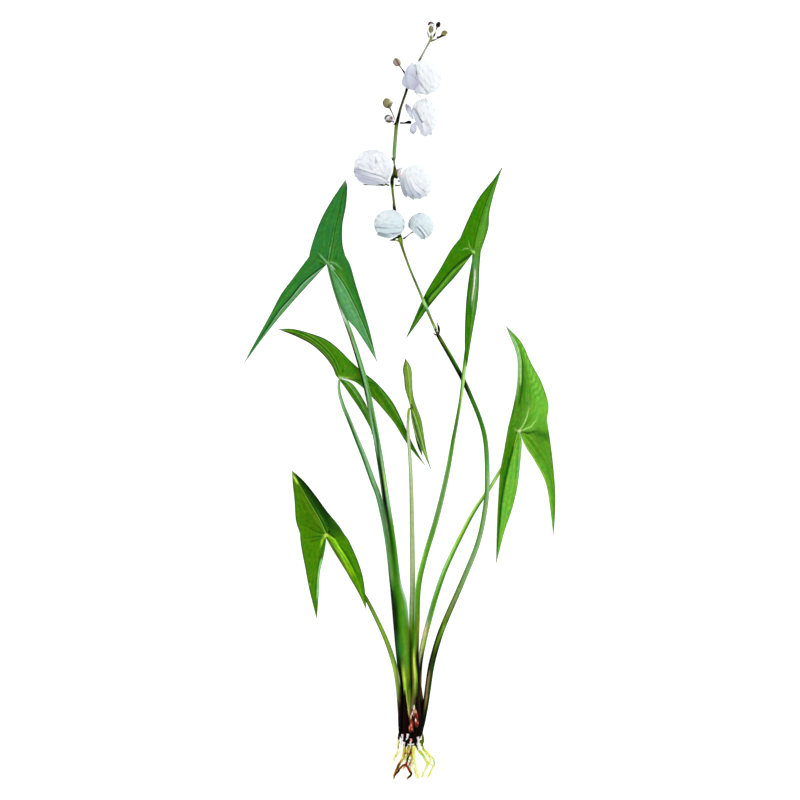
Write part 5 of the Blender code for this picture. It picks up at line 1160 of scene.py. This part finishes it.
def stalk_tint(rows, y, lateral):
    """Colours of a stalk at distances along Y and from its left side (-1) to its right (1)."""
    spots = sorted(rows)
    bands = np.stack([blended(rows[spot], (lateral + 1) / 2) for spot in spots])
    place = np.interp(y, spots, np.arange(len(spots)))
    k = np.clip(place.astype(int), 0, len(spots) - 2)
    return mix(bands[k], bands[k + 1], (place - k)[:, None])


def tube(patches, middles, widths, depths, colours, sides, ribs=(0, 0.0), seed=0):
    """A stalk or root round its middle line.

    colours: a function of Y and of the place across, from -1 to 1. ribs: their number and depth as a share.
    """
    side, up = sides_of(middles)
    if np.mean(side[:, 0]) < 0:
        side = -side
    turn = 2 * np.pi * (np.arange(sides) + 0.5) / sides
    shape = 1 - ribs[1] + ribs[1] * np.cos(ribs[0] * turn)
    across = widths[:, None] / 2 * np.cos(turn) * shape
    rise = depths[:, None] / 2 * np.sin(turn) * shape
    points = middles[:, None] + side[:, None] * across[..., None] + up[:, None] * rise[..., None]
    grain = stacked(reach(middles)[:, None], turn * widths.mean() / 2, seed)
    patches.add_grid(points, colours(middles[:, 1], np.cos(turn)), grain, closed=True, caps=True)


def sampled(rows, step):
    """Middles and sizes about one step apart along rows of x, y, z and one or two sizes."""
    rows = np.array(rows, float)
    lengths = reach(rows[:, :3])
    shares = np.linspace(0, 1, max(3, round(lengths[-1] / step) + 1))
    sizes = [np.interp(shares * lengths[-1], lengths, size) for size in rows[:, 3:].T]
    return curve(rows[:, :3], shares), *sizes


def add_leaf_stalk(place):
    rows = [(*row[:4], row[-1]) for row in LEAF_STALKS[place]]
    last = np.array(rows[-1])
    inside = last * 0.6 + np.array([*CORM_CENTRE, *last[3:]]) * 0.4
    patches = Patches()
    tube(patches, *sampled([*rows, inside], STALK_STEP), lambda y, x: stalk_tint(STALK_PAINT[place], y, x),
         sides=28, ribs=(7, 0.025), seed=sorted(LEAF_STALKS).index(place))
    patches.piece(f"stalk_{place}", "stalk", "leaf_stalk", f"leaf_stalk_{place}")


def add_flower_stalk():
    middles, widths = sampled((FLOWER_STALK_ROOT, *FLOWER_STALK, FLOWER_STALK_END), FLOWER_STALK_STEP)

    def colours(y, lateral):
        tint = stalk_tint(STALK_PAINT["flower"], y, lateral)
        for spot, half, name in STALK_RINGS:
            tint = touched(tint, name, 0.9 * bell(y - spot, half)[:, None])
        return tint

    patches = Patches()
    tube(patches, middles, widths, widths, colours, sides=24, ribs=(3, 0.04), seed=9)
    patches.piece("flower_stalk_main", "stalk", "flower_stalk", "flower_stalk")


def sheet(patches, line, half, names, number=0, cup=0.0, ruffle=0.0, pointed=False, shade=(0, 0, 0), rows=14,
          columns=9):
    """A thin petal or scale along a line of points, with a rounded or a pointed end.

    shade: the brightness it gains, at once, by its tip and by its sides.
    """
    t = (1 - (1 - np.linspace(0, 1, rows)) ** 1.6)[:, None]
    x = np.linspace(-1, 1, columns)[None]
    middles = curve(line, t[:, 0])
    side, up = sides_of(middles)
    end = 1 - t ** 1.8 if pointed else rounded(t, 0.45)
    across = half * (0.55 + 0.45 * np.sin(np.pi / 2 * np.minimum(t / 0.5, 1))) * end * x
    rise = half * (-cup * x ** 2 + ruffle * t ** 2 * np.sin(5 * x + 1.7 * number))
    points = middles[:, None] + side[:, None] * across[..., None] + up[:, None] * rise[..., None]
    light = 1 + shade[0] + shade[1] * t + shade[2] * np.abs(x)
    patches.add_grid(points, blended(names, t) * light[..., None],
                     stacked(t * reach(middles)[-1], across, 2.3 * number))


def add_sheets(name, look, slot, sheets, thickness, **shape):
    """One piece of petals or scales, each a foot, a middle, a tip, a half width and colours."""
    patches = Patches()
    for number, (*line, half, names) in enumerate(sheets):
        sheet(patches, line, half, names, number, **shape)
    patches.piece(name, look, slot, thickness=thickness)


def lay_petal(patches, centre, radii, spine, lift, names, rim, number, rows=26, columns=15):
    """An outer petal laid over a flower's ball along a spine of plan points with half widths."""
    spine = np.array(spine, float)
    t = 1 - (1 - np.linspace(0, 1, rows)) ** 1.6
    lengths = reach(spine[:, :2])
    middle = curve(spine[:, :2], t)
    half = np.interp(t * lengths[-1], lengths, spine[:, 2])[:, None]
    along = unit(np.gradient(middle, axis=0))
    side = np.stack([-along[:, 1], along[:, 0]], -1)
    t, x = t[:, None], np.linspace(-1, 1, columns)[None]
    wave = 0.03 * lengths[-1] * t ** 3 * np.sin(5.5 * x + number)
    across = half * rounded(t, 0.7) * x
    plan = middle[:, None] + along[:, None] * wave[..., None] + side[:, None] * across[..., None]
    away = (plan - np.array(centre[:2])) / np.array(radii[:2]) * PETAL_SPREAD
    height = np.sqrt(np.clip(1 - (away ** 2).sum(-1), 0.02, 1.0))
    rise = lift * (0.6 + 0.4 * t) + 0.12 * t * np.sin(5 * x + 2 * number)
    points = np.concatenate([plan, (centre[2] + radii[2] * height + rise)[..., None]], -1)
    # the rim colour, mostly a painted shade, tints the petal along its sides and round its tip
    edge = np.maximum(np.abs(x) ** 5, t ** 9) * ramp(t, 0.05, 0.25)
    patches.add_grid(points, touched(blended(names, t), rim, 0.7 * edge),
                     stacked(t * lengths[-1], half * x, 1.9 * number))


def shaped(place, points, tint):
    """The points and colours of a petal with the flat side and the folds of its flower, and the painted shade
    and highlights of its flower.
    """
    if place in FLAT_SIDES:
        spot, away = FLAT_SIDES[place]
        beyond = np.maximum((points[..., 0] - spot[0]) * away[0] + (points[..., 1] - spot[1]) * away[1], 0)
        points = points - (1 - FLAT_SHARE) * beyond[..., None] * np.array([*away, 0.0])
    drop = np.zeros(points.shape[:-1])
    for colour, half, strength, depth, *line in FOLDS_AND_PAINTED_LIGHT[place]:
        away, along = plan_distance(points, line)
        share = bell(away, half) * (1 - 0.5 * ramp(along, 0.8, 1.0))
        # painted shade and highlights: each line tints the petal's colour
        tint = touched(tint, colour, strength * share)
        drop += depth * share
    return points - drop[..., None] * np.array([0.0, 0.0, 1.0]), tint


def add_thin_stalk(name, node, route, thicknesses, colours, seed=0):
    shares = np.linspace(0, 1, max(8, round(reach(np.array(route))[-1] / THIN_STALK_STEP)))
    widths = np.interp(shares, np.linspace(0, 1, len(thicknesses)), thicknesses)
    patches = Patches()
    tube(patches, curve(route, shares), widths, widths, lambda y, x: blended(colours, shares)[:, None],
         sides=12, seed=seed)
    patches.piece(name, "stalk", "flower_stalk", node)


def petal(centre, radii, turn, spin, start, tip, half_width, low, high, ruffle, number, waves=4.5, rows=14,
          columns=15, scallop=0.0, dome=0.0):
    """Points and grain of a petal or sepal of a ball, from the polar angle of its foot to that of its tip.

    low and high: distance from the centre at its foot and tip, as shares of the radii.
    """
    t = (1 - (1 - np.linspace(0, 1, rows)) ** 1.7)[:, None]
    x = np.linspace(-1, 1, columns)[None]
    polar = np.radians(start + (tip - start) * t + scallop * t ** 4 * np.sin(7 * x + number))
    shape = 0.35 + 0.65 * np.sin(np.pi / 2 * np.minimum(t / 0.65, 1))
    shape = shape * np.sqrt(1 - np.clip((t - 0.65) / 0.35, 0, 0.999) ** 2)
    bend = (np.radians(half_width) * shape * x)[..., None]
    outward = stacked(np.sin(polar) * math.cos(spin), np.sin(polar) * math.sin(spin), np.cos(polar))
    sideways = np.array([-math.sin(spin), math.cos(spin), 0.0])
    direction = outward * np.cos(bend) + sideways * np.sin(bend)
    radius = low + (high - low) * t ** 0.9 + ruffle * t ** 2 * np.sin(waves * x + number) - dome * x ** 2 * t
    points = np.array(centre) + (direction @ turn.T) * np.array(radii) * radius[..., None]
    size = np.mean(radii)
    return points, stacked(t * size, bend[..., 0] * size, 3.1 * number), t, x


def turned(facing):
    """The rotation that brings Z to the way something faces."""
    rotation = Vector((0, 0, 1)).rotation_difference(Vector(facing).normalized()).to_matrix()
    return np.array(rotation)


def add_flower(place):
    centre, radii, facing, route, colour, foot = FLOWERS[place]
    seed = sorted(FLOWERS).index(place)
    draw = np.random.default_rng(FLOWER_SEED + seed)
    turn = turned(facing)
    right, up, size, relief, deep, waves = DOMES[place]
    middle = (centre[0] + right, centre[1] + up, centre[2])
    inner = np.array(radii) * size
    patches = Patches()
    for k in range(PETAL_COUNT):
        share = (k + 0.5) / PETAL_COUNT
        polar = math.degrees(math.acos(1 - share * BALL_COVER))
        outer = float(ramp(polar, 45.0, 95.0))
        tip = polar + draw.uniform(-5, 5)
        half_width = 15 + 17 * math.sqrt(share) + draw.uniform(-3, 3)
        high = 0.985 + 0.015 * outer - relief * draw.uniform(0.0, 0.02)
        spin = k * GOLDEN_TURN + draw.uniform(-0.2, 0.2)
        start = tip - 28 - 16 * math.sqrt(share)
        points, grain, t, x = petal(middle, inner, turn, spin, start, tip, half_width,
                                    low=0.94 - 0.03 * outer, high=high, number=k + 10 * seed, waves=waves,
                                    ruffle=0.005 * relief + deep * outer, scallop=2.5, dome=0.01)
        # painted shade: each petal's foot is darkened a little, and round the back of the ball it takes the
        # flower's shaded-foot colour
        low = touched(linear(colour) * 0.97, foot, 0.7 * outer)
        tint = mix(low, linear(colour) * draw.uniform(0.975, 1.0), ramp(t, 0.1, 0.75))
        points, tint = shaped(place, points, tint)
        patches.add_grid(points, tint, grain)
    for n, (names, rim, lift, *spine) in enumerate(OUTER_PETALS[place]):
        lay_petal(patches, centre, radii, spine, lift, names, rim, n + seed)
    patches.piece(f"petals_{place}", "petal", "petals", f"flower_{place}", thickness=PETAL_THICKNESS,
                  sharp=80)

    heart = Patches()
    polar, spin, direction = globe(rows=18, columns=32)
    points, tint = shaped(place, middle + (direction @ turn.T) * inner * 0.90, linear(colour) * 0.97)
    heart.add_grid(points, tint, stacked(polar * np.mean(inner), spin * np.mean(inner), 0), closed=True)
    heart.piece(f"heart_{place}", "petal", "petals")

    more, thicknesses, colours = PEDICELS[place]
    more = more or [np.array(route[-1]) * 0.7 + np.array(centre) * 0.3]
    add_thin_stalk(f"flower_foot_{place}", f"pedicel_{place}", [*route, *more], thicknesses, colours, seed)


def add_bud(place):
    centre, radius, stretch, route, colour, thicknesses, colours = BUDS[place]
    number = sorted(BUDS).index(place)
    centre, route = np.array(centre), np.array(route)
    turn = turned(centre - route[-1])
    radii = (radius, radius, radius * stretch)

    def paint(points, shade):
        tint = linear(colour) * shade
        for name, half, strength, *line in BUD_MARKS[place]:
            tint = touched(tint, name, strength * bell(plan_distance(points, line)[0], half))
        return tint

    polar, spin, direction = globe(rows=28, columns=44)
    swell = 0.95 + 0.05 * np.cos(3 * spin + number) * np.sin(polar)
    beak = 1 + 0.10 * np.maximum(np.cos(polar), 0) ** 6
    points = centre + (direction * stacked(swell, swell, beak) * radii) @ turn.T
    patches = Patches()
    patches.add_grid(points, paint(points, 1.0), stacked(polar * radius, spin * radius, number), closed=True)
    for k in range(3):
        spin = k * SEPAL_TURN + 0.5 * number
        points, grain, t, x = petal((0, 0, 0), radii, np.eye(3), spin, start=168, tip=34, half_width=52,
                                    low=0.97, high=1.04, ruffle=0.012, number=k, dome=0.05, rows=18)
        points = centre + points @ turn.T
        patches.add_grid(points, paint(points, (0.92 + 0.2 * x * x)[..., None]), grain)
    patches.piece(f"bud_ball_{place}", "bud", "buds", f"bud_{place}", thickness=SEPAL_THICKNESS,
                  sharp=80)
    route = [route[0] * 1.6 - route[1] * 0.6, *route, (route[-1] + centre) / 2]
    add_thin_stalk(f"bud_foot_{place}", f"bud_stalk_{place}", route, thicknesses, colours)


def add_bract(place):
    foot, tip, width, depth, names = BRACTS[place]
    along = np.subtract(tip, foot)
    side = unit(np.cross(along, (0, 0, 1)))
    up = np.cross(side, unit(along))
    t, x = np.linspace(0, 1, 16)[:, None], np.linspace(-1, 1, 9)[None]
    across = width / 2 * (1 - t ** 1.6) * (0.8 + 0.6 * t * (1 - t) * 2) * x
    rise = depth * (0.45 * (1 - x ** 2) * (1 - t) - 0.25)
    points = foot + along * t[..., None] + side * across[..., None] + up * rise[..., None]
    patches = Patches()
    tint = blended(names, t) * (1 + 0.7 * np.abs(x[..., None]) ** 3)
    patches.add_grid(points, tint, stacked(8 * t, across, 0))
    patches.piece(f"scale_{place}", "bud", "bracts", f"bract_{place}", thickness=BRACT_THICKNESS)


def add_corm():
    draw = np.random.default_rng(CORM_SEED)
    polar, spin, direction = globe(rows=40, columns=64)
    lumps = np.ones(direction.shape[:2])
    for n in range(CORM_LUMPS):
        toward = unit(draw.normal(size=3))
        lumps += draw.uniform(-0.10, 0.03) * np.exp((direction @ toward - 1) * draw.uniform(20, 60))
    lumps += 0.012 * np.sin(spin * 23 + 3 * np.sin(polar * 5)) * np.sin(polar)
    upright = direction[..., [0, 2, 1]]
    points = CORM_CENTRE + upright * CORM_RADII * np.minimum(lumps, 1.02)[..., None]
    points[..., 2] = np.maximum(points[..., 2], 0.0)
    patches = Patches()
    tint = blended(CORM_PAINT, np.clip(np.cos(spin * 2) * 0.3 + 0.3, 0, 1))
    patches.add_grid(points, tint, stacked(polar * 7, spin * 7, 0), closed=True)
    patches.piece("corm_body", "corm", "corm", "corm")


def add_shoot(place):
    foot, tip, radius = SHOOTS[place]
    shares = np.linspace(0, 1, SHOOT_RINGS)
    middles = foot + np.subtract(tip, foot) * shares[:, None]
    widths = 2 * radius * np.maximum(0.08, 1 - shares ** 1.5) ** 0.8 * 0.9
    patches = Patches()
    tube(patches, middles, widths, widths, lambda y, x: blended(SHOOT_PAINT, shares)[:, None], sides=20,
         ribs=(5, 0.05))
    patches.piece(f"shoot_{place}", "young_shoot", "young_shoots", f"young_shoot_{place}")
    scales = [(base, np.add(base, end) / 2 + np.array([0, 0, 0.5]), end, half, names)
              for base, end, half, names in SHOOT_SCALES[place]]
    add_sheets(f"shoot_scales_{place}", "young_shoot", "young_shoots", scales, SHOOT_SCALE_THICKNESS,
               cup=0.45, pointed=True, shade=(0.15, 0, -0.4), rows=16, columns=11)


def add_root(patches, root, number, draw):
    """One root with slight bends and swellings of its own."""
    names, edge, thick, thin, *route = root
    shares = np.linspace(0, 1, ROOT_RINGS)
    wiggle = draw.normal(size=(ROOT_BENDS, 3)) * ROOT_WANDER
    middles = curve(route, shares) + curve(wiggle, shares) * np.sin(np.pi * shares)[:, None]
    widths = np.interp(shares, (0, 1), (thick, thin)) * (1 + 0.10 * np.sin(30 * shares + number))
    widths = widths * np.minimum(1, 0.35 + 6 * (1 - shares))
    middles[:, 2] = np.maximum(middles[:, 2], widths / 2)
    tube(patches, middles, widths, widths,
         lambda y, x: touched(blended(names, shares)[:, None], edge, 0.75 * np.abs(x) ** 3), sides=14,
         seed=number)


def add_rootlet(patches, number, draw):
    """A thin root that wanders off from one of the roots."""
    route = ROOTS[number % len(ROOTS)][4:]
    line = [curve(route, np.array([draw.uniform(0.1, 0.85)]))[0]]
    heading = draw.uniform(-0.9, 0.9) - math.pi / 2
    low, high, near = ROOTLET_FIELD
    for step in range(ROOTLET_STEPS):
        heading += draw.normal() * 0.22
        x, y, z = line[-1] + np.array([math.cos(heading), math.sin(heading), 0]) * draw.uniform(0.6, 1.1)
        line.append(np.array([min(max(x, low), high), max(y, near), max(0.25, z - 0.35)]))
    shares = np.linspace(0, 1, ROOTLET_RINGS)
    widths = np.linspace(draw.uniform(0.4, 0.7), 0.3, ROOTLET_RINGS)
    names = ROOTLET_PAINT[number % len(ROOTLET_PAINT)]
    tube(patches, curve(line, shares), widths, widths, lambda y, x: blended(names, shares)[:, None],
         sides=7, seed=number)


def add_roots():
    draw = np.random.default_rng(ROOT_SEED)
    for number, root in enumerate(ROOTS, start=1):
        patches = Patches()
        add_root(patches, root, number, draw)
        patches.piece(f"main_root_{number}", "root", "roots", f"root_{number}")
    patches = Patches()
    for number, root in enumerate(SIDE_ROOTS, start=11):
        add_root(patches, root, number, draw)
    patches.piece("side_roots", "root", "roots")
    patches = Patches()
    for number in range(ROOTLET_COUNT):
        add_rootlet(patches, number, draw)
    patches.piece("rootlets", "root", "roots")


def add_stage():
    """The pale floor, soft light from all round and two wide lamps, and the camera straight above."""
    white = (1.0, 1.0, 1.0, 1.0)
    g = Graph(bpy.data.materials.new("floor"))
    g.fill(g.tree.nodes["Principled BSDF"],
           {"Base Color": (FLOOR_GREY, FLOOR_GREY, FLOOR_GREY, 1.0), "Roughness": 0.9,
            "Specular IOR Level": 0.0, "Emission Color": white, "Emission Strength": FLOOR_GLOW})
    mesh = bpy.data.meshes.new("floor")
    corners = [(x * FLOOR_HALF, y * FLOOR_HALF, 0) for x, y in ((-1, -1), (1, -1), (1, 1), (-1, 1))]
    mesh.from_pydata(corners, [], [(0, 1, 2, 3)])
    mesh.materials.append(g.owner)
    floor = placed("floor", mesh)
    floor.location.z = -FLOOR_DROP

    # Bright all round, and dim straight above.
    g = Graph(bpy.data.worlds.new("studio"))
    up = g.add("ShaderNodeSeparateXYZ", {0: g.add("ShaderNodeTexCoord", {}, "Generated")}, "Z")
    dim = g.ranged(up, 0.62, 0.92, 1.3, 0.15, interpolation_type="SMOOTHSTEP")
    g.fill(g.tree.nodes["Background"], {"Color": white, "Strength": dim})
    bpy.context.scene.world = g.owner

    for name, direction, strength, angle in LAMPS:
        lamp = bpy.data.lights.new(name, "SUN")
        lamp.energy = strength
        lamp.angle = math.radians(angle)
        obj = placed(name, lamp)
        obj.rotation_mode = "QUATERNION"
        obj.rotation_quaternion = Vector(direction).to_track_quat("Z", "Y")

    camera = bpy.data.cameras.new("camera")
    camera.lens = LENS
    camera.sensor_width = SENSOR_WIDTH
    camera.clip_end = VIEW_DEPTH
    eye = placed("camera", camera)
    eye.location = EYE
    bpy.context.scene.camera = eye
    bpy.context.scene.view_settings.view_transform = "Standard"


add_stage()
for place in LEAVES:
    add_leaf_blade(place)
    add_leaf_stalk(place)
add_flower_stalk()
for place in FLOWERS:
    add_flower(place)
for place in BUDS:
    add_bud(place)
for place in BRACTS:
    add_bract(place)
add_sheets("small_scales", "bud", "bracts", SCALES, SCALE_THICKNESS, cup=0.4, pointed=True,
           shade=(0, 0.3, 0), rows=12)
add_sheets("loose_petals", "petal", "petals", LOOSE_PETALS, PETAL_THICKNESS, cup=0.3, rows=20, columns=13)
add_corm()
add_sheets("stalk_sheaths", "corm", "corm", SHEATHS, SCALE_THICKNESS, cup=0.35, ruffle=0.05, pointed=True,
           rows=26, columns=13)
for place in SHOOTS:
    add_shoot(place)
add_roots()
